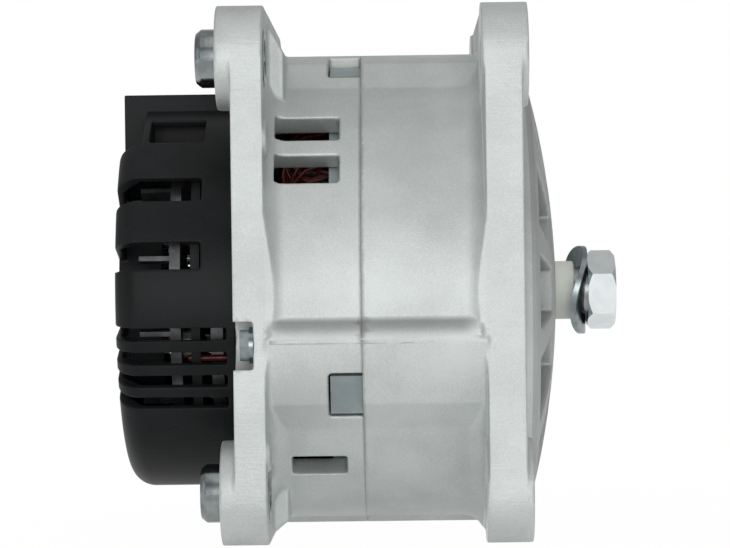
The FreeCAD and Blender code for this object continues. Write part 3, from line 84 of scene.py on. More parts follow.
class Socket:
    """One output of a shader node, with arithmetic that adds Math nodes."""

    def __init__(self, graph: "Graph", link: bpy.types.NodeSocket) -> None:
        """Keeps the graph and the socket."""
        self.graph = graph
        self.link = link

    def math(self, operation: str, *others: Value, first: Optional[Value] = None) -> "Socket":
        """Adds a Math node.

        Args:
            operation: the node's operation.
            others: what comes after the first value.
            first: the first value where it isn't this socket.

        Returns:
            The node's result.
        """
        values = [self if first is None else first, *others]
        return self.graph.add("ShaderNodeMath", {"operation": operation}, dict(enumerate(values)))

    def __add__(self, other: Value) -> "Socket":
        """Adds."""
        return self.math("ADD", other)

    __radd__ = __add__

    def __sub__(self, other: Value) -> "Socket":
        """Takes away."""
        return self.math("SUBTRACT", other)

    def __rsub__(self, other: Value) -> "Socket":
        """Takes this from a number."""
        return self.math("SUBTRACT", self, first=other)

    def __mul__(self, other: Value) -> "Socket":
        """Multiplies."""
        return self.math("MULTIPLY", other)

    __rmul__ = __mul__

    def __truediv__(self, other: Value) -> "Socket":
        """Divides."""
        return self.math("DIVIDE", other)

    def __rtruediv__(self, other: Value) -> "Socket":
        """Divides a number by this."""
        return self.math("DIVIDE", self, first=other)

    def __gt__(self, other: Value) -> "Socket":
        """Gives 1 where this is more."""
        return self.math("GREATER_THAN", other)

    def __lt__(self, other: Value) -> "Socket":
        """Gives 1 where this is less."""
        return self.math("LESS_THAN", other)

    def size(self) -> "Socket":
        """Gives the absolute value."""
        return self.math("ABSOLUTE")

    def sine(self) -> "Socket":
        """Gives the sine."""
        return self.math("SINE")

    def ramp(self, low: float, high: float) -> "Socket":
        """Gives a smooth rise.

        Args:
            low: the value at which it is still 0.
            high: the value at which it reaches 1.

        Returns:
            The rise, from 0 to 1.
        """
        return self.graph.add(
            "ShaderNodeMapRange",
            {"interpolation_type": "SMOOTHSTEP"},
            {"Value": self, "From Min": low, "From Max": high},
        )


class Graph:
    """Builds the nodes of one material, or of the world."""

    def __init__(self, tree: bpy.types.NodeTree, material: Optional[bpy.types.Material] = None) -> None:
        """Empties the tree.

        Args:
            tree: takes the nodes.
            material: the material that the tree belongs to, where it belongs to one.
        """
        self.tree = tree
        self.material = material
        self.tree.nodes.clear()

    @classmethod
    def of_material(cls, name: str) -> "Graph":
        """Starts a new material.

        Args:
            name: the material's name.

        Returns:
            The graph of its nodes.
        """
        material = bpy.data.materials.new(name)
        material.use_nodes = True
        return cls(material.node_tree, material)

    def add(self, kind: str, settings: dict[str, Any], inputs: dict[Any, Any], output: Any = 0) -> Socket:
        """Adds a node.

        Args:
            kind: the node's type.
            settings: what is set on the node before its sockets, such as an operation.
            inputs: socket name or number to a value or a link.
            output: the socket to give back.

        Returns:
            The node's output.
        """
        node = self.tree.nodes.new(kind)
        for name, value in settings.items():
            setattr(node, name, value)
        for name, value in inputs.items():
            if isinstance(value, Socket):
                self.tree.links.new(value.link, node.inputs[name])
            elif isinstance(value, tuple) and len(value) == 3 and node.inputs[name].type == "RGBA":
                node.inputs[name].default_value = (*value, 1)
            else:
                node.inputs[name].default_value = value
        return Socket(self, node.outputs[output])

    def place(self) -> Socket:
        """Gives the point in the row frame, in metres."""
        return self.add("ShaderNodeTexCoord", {}, {}, "Object")

    def place_around(self) -> Socket:
        """Gives the direction of a ray that leaves the scene."""
        return self.add("ShaderNodeTexCoord", {}, {}, "Generated")

    def parts_of(self, vector: Socket) -> tuple[Socket, Socket, Socket]:
        """Splits a vector.

        Args:
            vector: the vector.

        Returns:
            Its X, Y and Z.
        """
        x = self.add("ShaderNodeSeparateXYZ", {}, {"Vector": vector}, "X")
        outputs = x.link.node.outputs
        return x, Socket(self, outputs["Y"]), Socket(self, outputs["Z"])

    def speckle(
        self, scale: float, detail: float = 2.0, roughness: float = 0.5, stretch: Optional[Colour] = None
    ) -> Socket:
        """Gives noise from 0 to 1.

        Args:
            scale: bumps per metre.
            detail: octaves.
            roughness: how strong the fine octaves are.
            stretch: a scale for each axis.

        Returns:
            The noise value.
        """
        where = self.place()
        if stretch is not None:
            where = self.add("ShaderNodeVectorMath", {"operation": "MULTIPLY"}, {0: where, 1: stretch})
        inputs = {"Vector": where, "Scale": scale, "Detail": detail, "Roughness": roughness}
        return self.add("ShaderNodeTexNoise", {}, inputs)

    def mix(self, share: Value, first: Union[Colour, Socket], second: Union[Colour, Socket]) -> Socket:
        """Mixes two colours by a share from 0 to 1."""
        inputs = {MIX_SHARE: share, MIX_FIRST: first, MIX_SECOND: second}
        return self.add("ShaderNodeMix", {"data_type": "RGBA"}, inputs, MIX_RESULT)

    def bump(
        self, height: Socket, depth: float, strength: float = 1.0, below: Optional[Socket] = None
    ) -> Socket:
        """Turns heights from 0 to 1 into a normal.

        Args:
            height: the heights.
            depth: how deep 1 is, in metres.
            strength: the share of the effect.
            below: a normal that this one lies on.

        Returns:
            The normal.
        """
        inputs: dict[Any, Any] = {"Height": height, "Distance": depth, "Strength": strength}
        if below is not None:
            inputs["Normal"] = below
        return self.add("ShaderNodeBump", {}, inputs)

    def finish(self, **inputs: Any) -> bpy.types.Material:
        """Adds the shader and the output.

        Args:
            **inputs: a value or link for each socket, with underscores for the spaces of its name.

        Returns:
            The finished material.
        """
        named = {name.replace("_", " "): value for name, value in inputs.items()}
        self.add_output(self.add("ShaderNodeBsdfPrincipled", {}, named))
        return self.material

    def add_output(self, shader: Socket, kind: str = "ShaderNodeOutputMaterial") -> None:
        """Joins a shader to the tree's output.

        Args:
            shader: the shader.
            kind: the type of the output node.
        """
        end = self.tree.nodes.new(kind)
        self.tree.links.new(shader.link, end.inputs["Surface"])


@dataclass(frozen=True)
class Casting:
    """Sand-fine die-cast aluminium with brighter machined faces.

    The turn of a place about the shaft is told by the tangent of its angle below the near side. The tangent
    is the same half a turn further on, so that both side bosses get the same painted shade at the foot of
    their step.
    """

    name: str = "cast_aluminium"
    colour: Colour = (0.70, 0.735, 0.72)
    hollow_shade: float = 0.80
    peak_shade: float = 1.13
    peak_share: float = 0.4
    machined_colour: Colour = (0.86, 0.87, 0.87)
    machined_planes: tuple[Pair, ...] = ((39.7, -1), (55.0, 1), (-46.7, -1))
    machined_margin: float = 0.6
    machined_facing: float = 0.9
    # Painted shade: the nose in front of the front flange is given a darker colour.
    painted_nose_shade: Colour = (0.30, 0.31, 0.30)
    nose_start: float = 55.4
    painted_nose_shade_share: float = 0.45
    # Painted shade: a dark colour laid along the foot of the step onto each side boss.
    painted_step_shade: Colour = (0.20, 0.205, 0.20)
    painted_step_shade_share: float = 0.60
    step_rise: Pair = (0.096, 0.114)
    step_fall: Pair = (0.130, 0.190)
    step_ends: Pair = (-26.0, 32.0)
    step_fade: float = 7.0
    step_reach: float = 60.0
    strips: tuple[Pair, ...] = ((-36.4, 5.2), (46.7, 6.1))
    strip_facing: float = 0.3
    roughness: float = 0.43
    sand_depth: float = 0.11
    pit_depth: float = 0.08
    score_depth: float = 0.22

    def material(self) -> bpy.types.Material:
        """Builds the material.

        Returns:
            The finished material.
        """
        graph = Graph.of_material(self.name)
        grain = graph.speckle(1500, 3, 0.6)
        patches = graph.speckle(42, 3, 0.55)
        spots = graph.speckle(4200, 1, 0.5)
        x, y, z = graph.parts_of(graph.place())
        normal = graph.add("ShaderNodeNewGeometry", {}, {}, "True Normal")
        facing, _, _ = graph.parts_of(normal)
        machined = self.machined_mask(x, facing)
        hollow = tuple(part * self.hollow_shade for part in self.colour)
        peak = tuple(min(1.0, part * self.peak_shade) for part in self.colour)
        body = graph.mix((patches * 0.6 + grain * 0.5).ramp(0.35, 0.75), hollow, self.colour)
        body = graph.mix(spots.ramp(0.6, 0.75) * self.peak_share, body, peak)
        body = graph.mix(machined, body, self.machined_colour)
        # Painted shade on the nose in front of the front flange.
        body = graph.mix((x > row_x(self.nose_start)) * self.painted_nose_shade_share, body, self.painted_nose_shade)
        # Painted shade at the foot of the step onto each side boss.
        body = graph.mix(self.painted_step_shade_mask(x, y, z) * self.painted_step_shade_share, body, self.painted_step_shade)
        rough = self.roughness + grain * 0.16 + patches * 0.08 - machined * 0.22
        sand = graph.bump(grain, self.sand_depth * MM, 0.7)
        pits = graph.bump(spots, self.pit_depth * MM, 0.6, sand)
        scored = graph.speckle(1.0, 3, 0.7, (110, 1500, 1500)) * self.strip_mask(x, facing)
        marks = graph.bump(scored, self.score_depth * MM, 0.7, pits)
        return graph.finish(Base_Color=body, Roughness=rough, Metallic=0.82, Normal=marks)

    def machined_mask(self, x: Socket, facing: Socket) -> Socket:
        """Finds the faces that were machined flat.

        Args:
            x: the place along the shaft.
            facing: how far the surface faces along the shaft.

        Returns:
            1 on those faces and 0 elsewhere.
        """
        faces = [
            ((x - row_x(plane)).size() < self.machined_margin * MM) * ((facing * side) > self.machined_facing)
            for plane, side in self.machined_planes
        ]
        return sum(faces[1:], faces[0])

    def painted_step_shade_mask(self, x: Socket, y: Socket, z: Socket) -> Socket:
        """Finds the foot of the step onto each side boss, where shade is painted into the casting's colour.

        Args:
            x: the place along the shaft.
            y: the place across it.
            z: the height.

        Returns:
            1 at the foot, falling to 0 round it.
        """
        turn = z / y
        step = turn.ramp(*self.step_rise) * (1.0 - turn.ramp(*self.step_fall))
        step = step * (y.size() > self.step_reach * MM)
        rear, front = (row_x(end) for end in self.step_ends)
        step = step * x.ramp(rear - self.step_fade * MM, rear)
        return step * (1.0 - x.ramp(front, front + self.step_fade * MM))

    def strip_mask(self, x: Socket, facing: Socket) -> Socket:
        """Finds the rims of the two flanges, which the trimming tool has scored.

        Args:
            x: the place along the shaft.
            facing: how far the surface faces along the shaft.

        Returns:
            1 on the rims and 0 elsewhere.
        """
        strips = [
            ((x - row_x(middle)).size() < half * MM) * ((1.0 - facing.size()) > self.strip_facing)
            for middle, half in self.strips
        ]
        return sum(strips[1:], strips[0])


@dataclass(frozen=True)
class PlatedSteel:
    """Turned or pressed steel with a plated coat."""

    name: str
    colour: Colour
    tint: Colour
    roughness: float = 0.2
    ring_depth: float = 0.0
    cloud_scale: float = 160
    fine_scale: float = 2600
    ring_stretch: Colour = (9000, 60, 60)
    depth: float = 0.04

    def material(self) -> bpy.types.Material:
        """Builds the material.

        Returns:
            The finished material.
        """
        graph = Graph.of_material(self.name)
        cloud = graph.speckle(self.cloud_scale, 3, 0.6)
        fine = graph.speckle(self.fine_scale, 2, 0.6)
        body = graph.mix(cloud.ramp(0.35, 0.7), self.colour, self.tint)
        rough = self.roughness * 0.8 + fine * (self.roughness * 0.5) + cloud * 0.04
        height = fine
        if self.ring_depth:
            height = fine * 0.4 + graph.speckle(1.0, 2, 0.6, self.ring_stretch) * self.ring_depth
        normal = graph.bump(height, self.depth * MM, 0.6)
        return graph.finish(Base_Color=body, Roughness=rough, Metallic=1.0, Normal=normal)


@dataclass(frozen=True)
class Moulding:
    """Moulded plastic or rubber with a fine grain."""

    name: str
    colour: Colour
    light: Colour
    roughness: float = 0.42
    grain_scale: float = 1700
    depth: float = 0.06
    shine: float = 0.5
    flow_scale: float = 34

    def material(self) -> bpy.types.Material:
        """Builds the material.

        Returns:
            The finished material.
        """
        graph = Graph.of_material(self.name)
        grain = graph.speckle(self.grain_scale, 2, 0.6)
        flow = graph.speckle(self.flow_scale, 3, 0.6)
        body = graph.mix((flow * 0.7 + grain * 0.4).ramp(0.35, 0.8), self.colour, self.light)
        rough = self.roughness - 0.05 + grain * 0.1 + flow * 0.08
        return graph.finish(
            Base_Color=body,
            Roughness=rough,
            Metallic=0.0,
            Specular_IOR_Level=self.shine,
            Normal=graph.bump(grain, self.depth * MM, 0.7),
        )


@dataclass(frozen=True)
class Laminations:
    """Stacked sheet steel under grey-blue varnish."""

    name: str = "laminated_steel"
    pitch: float = 0.6
    colour: Colour = (0.26, 0.31, 0.32)
    light: Colour = (0.33, 0.385, 0.39)
    seam: Colour = (0.18, 0.21, 0.22)
    seam_share: float = 0.10
    layer_depth: float = 0.01
    varnish_depth: float = 0.1

    def material(self) -> bpy.types.Material:
        """Builds the material.

        Returns:
            The finished material.
        """
        graph = Graph.of_material(self.name)
        x, _, _ = graph.parts_of(graph.place())
        layer = (x * (2 * math.pi / (self.pitch * MM))).sine() * 0.5 + 0.5
        cloud = graph.speckle(110, 3, 0.6)
        body = graph.mix(cloud.ramp(0.3, 0.7), self.colour, self.light)
        body = graph.mix(layer * self.seam_share, body, self.seam)
        varnish = graph.bump(cloud, self.varnish_depth * MM, 0.4)
        normal = graph.bump(layer, self.layer_depth * MM, 0.5, varnish)
        return graph.finish(Base_Color=body, Roughness=0.34 + cloud * 0.15, Metallic=0.35, Normal=normal)


@dataclass(frozen=True)
class Enamel:
    """Copper wire under dark red-brown enamel."""

    name: str = "enamelled_copper"
    colour: Colour = (0.030, 0.006, 0.006)
    light: Colour = (0.13, 0.022, 0.018)
    depth: float = 0.12

    def material(self) -> bpy.types.Material:
        """Builds the material.

        Returns:
            The finished material.
        """
        graph = Graph.of_material(self.name)
        cloud = graph.speckle(220, 3, 0.6)
        strand = graph.speckle(900, 2, 0.5)
        body = graph.mix(cloud.ramp(0.3, 0.7), self.colour, self.light)
        normal = graph.bump(strand, self.depth * MM, 0.6)
        return graph.finish(Base_Color=body, Roughness=0.22 + strand * 0.2, Metallic=0.35, Normal=normal)


class End(Enum):
    """The two ends of the stator, by the way that they face along X."""

    REAR = -1
    FRONT = 1


Finish = Union[Casting, PlatedSteel, Moulding, Laminations, Enamel]

FINISHES: dict[str, Finish] = {
    finish.name: finish
    for finish in (
        Casting(),
        Laminations(),
        Enamel(),
        PlatedSteel("zinc_steel", (0.82, 0.89, 0.90), (0.92, 0.95, 0.95), 0.12),
        PlatedSteel("worn_zinc", (0.21, 0.25, 0.26), (0.34, 0.38, 0.39), 0.22),
        PlatedSteel("bush_steel", (0.23, 0.255, 0.26), (0.37, 0.395, 0.395), 0.13, 1.0),
        PlatedSteel("bearing_steel", (0.55, 0.56, 0.57), (0.66, 0.66, 0.66), 0.18, 0.6),
        PlatedSteel("shaft_steel", (0.34, 0.34, 0.35), (0.48, 0.48, 0.48), 0.32, 0.8),
        PlatedSteel("fan_steel", (0.20, 0.21, 0.22), (0.32, 0.33, 0.34), 0.38),
        PlatedSteel("bare_copper", (0.66, 0.31, 0.17), (0.80, 0.44, 0.28), 0.24, 0.5),
        PlatedSteel("spring_steel", (0.45, 0.45, 0.46), (0.6, 0.6, 0.6), 0.25),
        # Painted shade: the heatsink aluminium gets a near-black colour that stands in for the shade inside
        # the rear cover.
        PlatedSteel("heatsink_aluminium", (0.10, 0.105, 0.11), (0.17, 0.175, 0.18), 0.45, 0.5),
        PlatedSteel("diode_can", (0.30, 0.28, 0.24), (0.42, 0.40, 0.36), 0.34),
        Moulding("seal_rubber", (0.012, 0.012, 0.013), (0.03, 0.03, 0.03), 0.6),
        Moulding("black_plastic", (0.008, 0.0088, 0.0092), (0.016, 0.0175, 0.019), 0.34, shine=0.13),
        Moulding("inner_plastic", (0.010, 0.010, 0.011), (0.022, 0.022, 0.024), 0.55, shine=0.25),
        Moulding("brush_carbon", (0.03, 0.028, 0.027), (0.08, 0.06, 0.05), 0.55),
        Moulding("sleeve_plastic", (0.84, 0.89, 0.80), (0.90, 0.93, 0.86), 0.5, 900, 0.03),
    )
}


@dataclass
class Dresser:
    """Builds each finish once and puts it on CAD nodes and new pieces."""

    worn_nodes: tuple[str, ...] = ("through_bolts", "spring_washer")
    worn_finish: str = "worn_zinc"

    def __post_init__(self) -> None:
        """Reads which slot each node takes."""
        self.made: dict[str, bpy.types.Material] = {}
        self.slots = {row["node"]: row["material_slot"] for row in frame["record"]["subparts"]}

    def finish(self, name: str) -> bpy.types.Material:
        """Gives the material of a finish.

        Args:
            name: the finish, which is also the name of its slot.

        Returns:
            The material, the same one each time.
        """
        if name not in self.made:
            self.made[name] = FINISHES[name].material()
        return self.made[name]

    def wear(self, piece: bpy.types.Object, slot: str) -> None:
        """Puts one finish on a new piece and names its slot.

        Args:
            piece: the piece.
            slot: its slot.
        """
        piece.data.materials.clear()
        piece.data.materials.append(self.finish(slot))

    def dress_nodes(self) -> None:
        """Gives every CAD node the finish of its slot."""
        for name, node in frame["nodes"].items():
            finish = self.worn_finish if name in self.worn_nodes else self.slots[name]
            for place in node.material_slots:
                place.material = self.finish(finish)


def new_piece(name: str, mesh: bpy.types.Mesh, body: str) -> bpy.types.Object:
    """Links a mesh as a piece that rides on a body.

    Args:
        name: the piece's name.
        mesh: its mesh.
        body: the body that it rides on.

    Returns:
        The new object.
    """
    piece = bpy.data.objects.new(name, mesh)
    bpy.context.scene.collection.objects.link(piece)
    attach(piece, body)
    LOG.info("%s: %d faces on %s", name, len(mesh.polygons), body)
    return piece


def settled(source: bpy.types.Mesh, modifiers: Sequence[tuple[str, dict[str, Any]]]) -> bpy.types.Mesh:
    """Gives the mesh that a chain of modifiers makes.

    Args:
        source: the mesh to start from.
        modifiers: the type and settings of each modifier, in order.

    Returns:
        A new mesh with the modifiers applied.
    """
    worker = bpy.data.objects.new("worker", source)
    bpy.context.scene.collection.objects.link(worker)
    for kind, settings in modifiers:
        modifier = worker.modifiers.new(kind.lower(), kind)
        for name, value in settings.items():
            setattr(modifier, name, value)
    bpy.context.view_layer.update()
    depsgraph = bpy.context.evaluated_depsgraph_get()
    mesh = bpy.data.meshes.new_from_object(worker.evaluated_get(depsgraph))
    bpy.data.objects.remove(worker)
    return mesh


def points_of(mesh: bpy.types.Mesh, what: str = "co") -> np.ndarray:
    """Reads a vector of each point.

    Args:
        mesh: the mesh.
        what: co for the places, or normal.

    Returns:
        A row of three numbers for each point.
    """
    values = np.empty(len(mesh.vertices) * 3, np.float32)
    mesh.vertices.foreach_get(what, values)
    return values.reshape(-1, 3)


def move_points(mesh: bpy.types.Mesh, places: np.ndarray) -> None:
    """Moves the points of a mesh.

    Args:
        mesh: the mesh.
        places: a row of three numbers for each point.
    """
    mesh.vertices.foreach_set("co", places.ravel())
    mesh.update()


@dataclass
class Softened:
    """A CAD piece copied with the rounded edges that casting or moulding leaves.

    A casting, which has a rough skin, also gets the full round shoulder on its side bosses, and a rim set
    flat on the plane between the housings.
    """

    node: str
    grid: float
    rough: float = 0.0
    body: str = "case"
    quick_grid: float = 2.0
    smoothing: float = 0.5
    passes: int = 3
    most_triangles: int = 190_000
    seed: float = 3.0
    waves: tuple[Pair, ...] = ((90.0, 0.45), (260.0, 0.35), (700.0, 0.2))
    wave_turn: float = 0.7
    rim: float = 1.1
    joint: float = 0.02
    shell: float = 78.0
    shell_margin: float = 0.8
    shoulder: float = 3.4
    shoulder_turns: Pair = (5.5, 11.3)
    shoulder_ends: Pair = (-30.5, 39.0)
    shoulder_tilt: float = 68.0

    def build(self, dresser: Dresser) -> bpy.types.Object:
        """Builds the rounded copy in place of the node.

        Args:
            dresser: gives the finish.

        Returns:
            The new piece.
        """
        grid = self.grid * MM * 1
        mesh = settled(frame["nodes"][self.node].data.copy(), [
            ("REMESH", {"mode": "VOXEL", "voxel_size": grid, "use_smooth_shade": True}),
            ("SMOOTH", {"factor": self.smoothing, "iterations": self.passes}),
        ])
        if self.rough:
            self.round_shoulders(mesh)
            self.roughen(mesh)
            self.square_rim(mesh)
        triangles = len(mesh.polygons) * 2
        if triangles > self.most_triangles:
            mesh = settled(mesh, [("DECIMATE", {"ratio": self.most_triangles / triangles})])
        mesh.shade_smooth()
        kind = "casting" if self.rough else "moulding"
        piece = new_piece(f"{self.node}_{kind}", mesh, self.body)
        dresser.wear(piece, dresser.slots[self.node])
        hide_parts(self.node)
        return piece

    def round_shoulders(self, mesh: bpy.types.Mesh) -> None:
        """Gives the two side bosses the full round shoulder that rises sharply from the shell.

        Args:
            mesh: the casting.
        """
        places = points_of(mesh)
        length = places[:, 0] / MM - SPLIT
        radius = np.hypot(places[:, 1], places[:, 2])
        low, high = self.shoulder_turns
        rear, front = self.shoulder_ends
        steepest = math.sin(math.radians(self.shoulder_tilt))
        height = self.shoulder / (1 - math.cos(math.radians(self.shoulder_tilt)))
        for side in (-1, 1):
            turn = np.degrees(np.arctan2(side * places[:, 2], side * places[:, 1]))
            share = (turn - low) / (high - low)
            across = (1 - np.clip(share, 0, 1)) * steepest
            risen = (self.shell + self.shoulder - height * (1 - np.sqrt(1 - across ** 2))) * MM
            outside = (radius > (self.shell - self.shell_margin) * MM) & (radius < risen)
            outside &= (share > 0) & (share < 1) & (length > rear) & (length < front)
            places[outside, 1:] *= (risen[outside] / radius[outside])[:, None]
            radius[outside] = risen[outside]
        move_points(mesh, places)

    def roughen(self, mesh: bpy.types.Mesh) -> None:
        """Moves each point in or out a little, as the skin of a casting waves.

        Args:
            mesh: the casting.
        """
        places = points_of(mesh)
        wave = np.zeros(len(places), np.float32)
        for number, (scale, share) in enumerate(self.waves):
            axis = Vector((1, number + 1, 2)).normalized()
            turn = np.array(Matrix.Rotation(self.wave_turn + number, 3, axis), np.float32)
            waves = np.sin((places @ turn) * scale * 2 * math.pi / 3 + self.seed + number)
            wave += share * (waves[:, 0] * waves[:, 1] + waves[:, 2] * waves[:, 0]) / 2
        places += points_of(mesh, "normal") * (wave * self.rough * MM)[:, None]
        move_points(mesh, places)

    def square_rim(self, mesh: bpy.types.Mesh) -> None:
        """Sets the rim flat on the plane between the housings, which leaves a thin line there.

        Args:
            mesh: the casting.
        """
        places = points_of(mesh)
        split = SPLIT * MM
        side = 1 if places[:, 0].mean() > split else -1
        rim = np.abs(places[:, 0] - split) < self.rim * MM
        places[rim, 0] = split + side * self.joint * MM
        move_points(mesh, places)


@dataclass
class Bush:
    """A mounting bush with the bevels that turning leaves."""

    node: str
    bore: float = 6.25
    radius: float = 9.6
    chamfer: Pair = (2.0, 1.3)
    bevel: float = 0.4
    segments: int = 120
    crease: float = 38.0
    slot: str = "bush_steel"

    def build(self, dresser: Dresser) -> bpy.types.Object:
        """Builds the bush in place of its node.

        Args:
            dresser: gives the finish.

        Returns:
            The new piece.
        """
        low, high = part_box(self.node)
        centre = (low + high) / 2
        length = (high.x - low.x) / MM
        run, drop = self.chamfer
        shoulder = self.radius - drop
        profile = [
            (self.bevel, self.bore),
            (0.0, self.bore + self.bevel),
            (0.0, shoulder - self.bevel),
            (self.bevel / 2, shoulder),
            (run - self.bevel, self.radius - self.bevel / 2),
            (run, self.radius),
            (length - self.bevel, self.radius),
            (length, self.radius - self.bevel),
            (length, self.bore + self.bevel),
            (length - self.bevel, self.bore),
        ]
        points = []
        for depth, radius in profile:
            for step in range(self.segments):
                angle = 2 * math.pi * step / self.segments
                across = Vector((0, radius * math.cos(angle), radius * math.sin(angle))) * MM
                points.append(Vector((low.x + depth * MM, centre.y, centre.z)) + across)
        faces = []
        for ring in range(len(profile)):
            after = (ring + 1) % len(profile)
            for step in range(self.segments):
                beside = (step + 1) % self.segments
                faces.append((
                    ring * self.segments + step,
                    after * self.segments + step,
                    after * self.segments + beside,
                    ring * self.segments + beside,
                ))
        mesh = bpy.data.meshes.new(self.node)
        mesh.from_pydata(points, [], faces)
        mesh.shade_smooth()
        mesh.set_sharp_from_angle(angle=math.radians(self.crease))
        piece = new_piece(f"{self.node}_turned", mesh, self.node)
        dresser.wear(piece, self.slot)
        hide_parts(self.node)
        return piece


@dataclass
class Windings:
    """The stator's wires: loops from slot to slot that cross over each other outside the stack."""

    slots: int = 36
    wires_per_slot: int = 2
    slots_reached: int = 3
    stack_ends: tuple[tuple[End, float], ...] = ((End.REAR, -10.5), (End.FRONT, 27.8))
    leg: float = 3.0
    wire: float = 0.62
    margin: float = 0.9
    weave: float = 0.75
    layers: tuple[float, ...] = (57.6, 59.9, 62.2, 64.6)
    steps: int = 9
    shortest: float = 0.82
    length_step: float = 0.06
    lengths: int = 4
    crown: float = 0.55

    def build(self, dresser: Dresser) -> bpy.types.Object:
        """Builds both crowns as one piece in place of the plain solid.

        Args:
            dresser: gives the finish.

        Returns:
            The new piece.
        """
        low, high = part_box("stator_winding")
        curve = bpy.data.curves.new("wires", "CURVE")
        curve.dimensions = "3D"
        curve.bevel_depth = self.wire * MM
        curve.bevel_resolution = 1
        for end, face in self.stack_ends:
            tip = (high.x if end is End.FRONT else low.x) / MM - SPLIT
            for number in range(self.slots * self.wires_per_slot):
                for row, radius in enumerate(self.layers):
                    self.add_loop(curve, number, end, face, tip, radius, row)
        worker = bpy.data.objects.new("worker", curve)
        bpy.context.scene.collection.objects.link(worker)
        bpy.context.view_layer.update()
        mesh = bpy.data.meshes.new_from_object(worker.evaluated_get(bpy.context.evaluated_depsgraph_get()))
        bpy.data.objects.remove(worker)
        mesh.shade_smooth()
        piece = new_piece("winding_wires", mesh, "case")
        dresser.wear(piece, "enamelled_copper")
        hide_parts("stator_winding")
        return piece

    def add_loop(
        self, curve: bpy.types.Curve, number: int, end: End, face: float, tip: float, radius: float, row: int
    ) -> None:
        """Adds one wire loop.

        Args:
            curve: takes the loop.
            number: which loop it is, counted round the stack.
            end: which end of the stack it leaves.
            face: the stack's face there.
            tip: how far the crown reaches.
            radius: the loop's distance from the shaft axis.
            row: the layer, counted outwards.
        """
        spread = 2 * math.pi * self.slots_reached / self.slots
        first = 2 * math.pi * (number + row / 2) / (self.slots * self.wires_per_slot)
        out = tip - face - self.margin * end.value
        reach = self.shortest + self.length_step * ((number + row) % self.lengths)
        spline = curve.splines.new("POLY")
        spline.points.add(self.steps - 1)
        for k in range(self.steps):
            share = k / (self.steps - 1)
            angle = first + spread * share
            rise = math.sin(math.pi * share) ** self.crown
            across = radius + self.weave * math.cos(math.pi * share)
            inside = self.leg * end.value if k in (0, self.steps - 1) else 0
            depth = face + out * rise * reach - inside
            spline.points[k].co = (*at(depth, across * math.cos(angle), across * math.sin(angle)), 1)


@dataclass(frozen=True)
class Lamp:
    """A square lamp that faces the object."""

    name: str
    place: tuple[float, float, float]
    size: float
    power: float

    def build(self, target: Vector) -> None:
        """Adds the lamp.

        Args:
            target: the point that it faces.
        """
        data = bpy.data.lights.new(self.name, "AREA")
        data.size = self.size * MM
        data.energy = self.power
        lamp = bpy.data.objects.new(self.name, data)
        place = at(*self.place)
        turn = (target - place).to_track_quat("-Z", "Y").to_matrix().to_4x4()
        lamp.matrix_world = Matrix.Translation(place) @ turn
        bpy.context.scene.collection.objects.link(lamp)


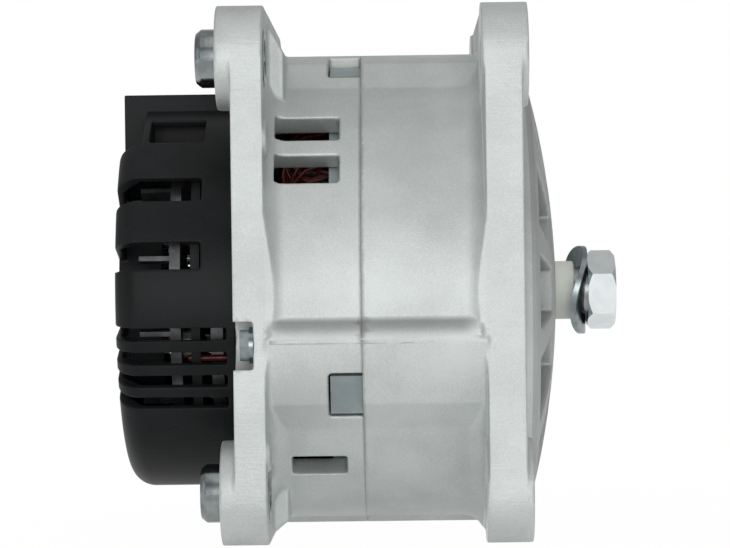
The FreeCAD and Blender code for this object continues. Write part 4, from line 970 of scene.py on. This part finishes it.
@dataclass
class Studio:
    """The camera, lamps, floor and background."""

    distance: float = 950.0
    yaw: float = 0.75
    roll: float = 0.75
    target: tuple[float, float, float] = (0.2, 0.0, 6.5)
    pixels: float = 2707.5
    width: float = 730.0
    sensor: float = 36.0
    near: float = 10.0
    reach: float = 100_000.0
    lamps: tuple[Lamp, ...] = (
        Lamp("front_panel", (0, -945, -110), 700, 3.3),
        Lamp("top_panel", (-60, -400, 850), 800, 0.9),
        Lamp("left_panel", (-900, -250, 100), 700, 0.7),
        Lamp("right_panel", (850, -400, 100), 700, 0.2),
        Lamp("rear_panel", (0, 900, 350), 900, 0.4),
    )
    floor: float = -82.6
    floor_half: float = 4000.0
    floor_paint: Colour = (0.86, 0.86, 0.86)
    floor_mirrored: float = 0.45
    floor_near: float = 0.985
    floor_fade: Pair = (0.01, 0.07)
    white: Colour = (1.0, 1.0, 1.0)
    all_round: float = 0.32
    overhead: float = 0.14
    overhead_rise: Pair = (0.5, 0.85)
    ahead: float = 0.88
    ahead_height: Pair = (0.24, 0.58)
    ahead_width: Pair = (0.35, 0.75)
    behind: Pair = (-0.1, 0.3)
    behind_loss: float = 0.93
    soft_light: float = 0.62

    def build(self) -> None:
        """Builds the whole studio."""
        self.add_camera()
        self.add_floor()
        self.add_world()
        for lamp in self.lamps:
            lamp.build(at(*self.target))
        bpy.context.scene.view_settings.view_transform = "Standard"

    def add_camera(self) -> None:
        """Puts the camera where the photograph was taken from."""
        yaw, roll = math.radians(self.yaw), math.radians(self.roll)
        forward = Vector((-math.sin(yaw), math.cos(yaw), 0))
        across = Vector((math.cos(yaw), math.sin(yaw), 0))
        up = Vector((0, 0, 1))
        right = math.cos(roll) * across - math.sin(roll) * up
        top = math.sin(roll) * across + math.cos(roll) * up
        place = at(*self.target) - forward * self.distance * MM
        turn = Matrix((right, top, -forward)).transposed().to_4x4()
        data = bpy.data.cameras.new("camera")
        data.lens = self.sensor * self.pixels / self.width
        data.sensor_width = self.sensor
        data.sensor_fit = "HORIZONTAL"
        data.clip_start = self.near * MM
        data.clip_end = self.reach * MM
        camera = bpy.data.objects.new("camera", data)
        camera.matrix_world = Matrix.Translation(place) @ turn
        bpy.context.scene.collection.objects.link(camera)
        bpy.context.scene.camera = camera

    def sorted_rays(self, graph: Graph) -> tuple[Socket, Socket]:
        """Tells the rays that see the background from those that carry light to the object.

        Args:
            graph: takes the nodes.

        Returns:
            1 for the camera's rays, and 1 for those and the rays that metal or glass mirrors or passes.
        """
        camera = graph.add("ShaderNodeLightPath", {}, {}, "Is Camera Ray")
        outputs = camera.link.node.outputs
        glossy = Socket(graph, outputs["Is Glossy Ray"])
        through = Socket(graph, outputs["Is Transmission Ray"])
        return camera, camera.math("MAXIMUM", glossy).math("MAXIMUM", through)

    def add_floor(self) -> None:
        """Lays the pale floor, which is white to the camera but for the object's shadow."""
        mesh = bpy.data.meshes.new("floor")
        half = self.floor_half * MM
        height = self.floor * MM
        corners = [(-half, -half, height), (half, -half, height), (half, half, height), (-half, half, height)]
        mesh.from_pydata(corners, [], [(0, 1, 2, 3)])
        floor = bpy.data.objects.new("floor", mesh)
        bpy.context.scene.collection.objects.link(floor)
        graph = Graph.of_material("pale_floor")
        matte = graph.add("ShaderNodeBsdfDiffuse", {}, {"Color": self.floor_paint})
        glow = graph.add("ShaderNodeEmission", {}, {"Color": self.white, "Strength": 1.0})
        x, y, _ = graph.parts_of(graph.place())
        far = (x * x + y * y).ramp(*self.floor_fade)
        camera, seen = self.sorted_rays(graph)
        seen_near = self.floor_near - self.floor_mirrored
        share = seen * (self.floor_mirrored + camera * (seen_near + far * (1.0 - self.floor_near)))
        graph.add_output(graph.add("ShaderNodeMixShader", {}, {0: share, 1: matte, 2: glow}))
        mesh.materials.append(graph.material)

    def add_world(self) -> None:
        """Makes the background white to the camera and plain soft light to the object."""
        world = bpy.data.worlds.new("studio")
        world.use_nodes = True
        bpy.context.scene.world = world
        graph = Graph(world.node_tree)
        camera, seen = self.sorted_rays(graph)
        across, depth, up = graph.parts_of(graph.place_around())
        level = 1.0 - up.size().ramp(*self.ahead_height)
        ahead = level * (1.0 - across.size().ramp(*self.ahead_width)) * self.ahead
        ahead = ahead * (1.0 - depth.ramp(*self.behind) * self.behind_loss)
        mirrored = self.all_round + up.ramp(*self.overhead_rise) * self.overhead + ahead
        strength = seen * (camera + (1.0 - camera) * mirrored) + (1.0 - seen) * self.soft_light
        shine = graph.add("ShaderNodeBackground", {}, {"Color": self.white, "Strength": strength})
        graph.add_output(shine, "ShaderNodeOutputWorld")


def main() -> None:
    """Builds the studio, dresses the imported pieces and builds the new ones."""
    logging.basicConfig(level=logging.INFO, format="%(name)s %(message)s")
    Studio().build()
    dresser = Dresser()
    dresser.dress_nodes()
    for copy in (
        Softened("front_housing", grid=0.6, rough=0.03),
        Softened("rear_housing", grid=0.6, rough=0.04),
        Softened("rear_cover", grid=0.4),
        Softened("terminal_box", grid=0.4),
    ):
        copy.build(dresser)
    for level in ("upper", "lower"):
        for side in ("left", "right"):
            Bush(f"{level}_{side}_bush").build(dresser)
    Windings().build(dresser)


if __name__ == "__main__":
    main()
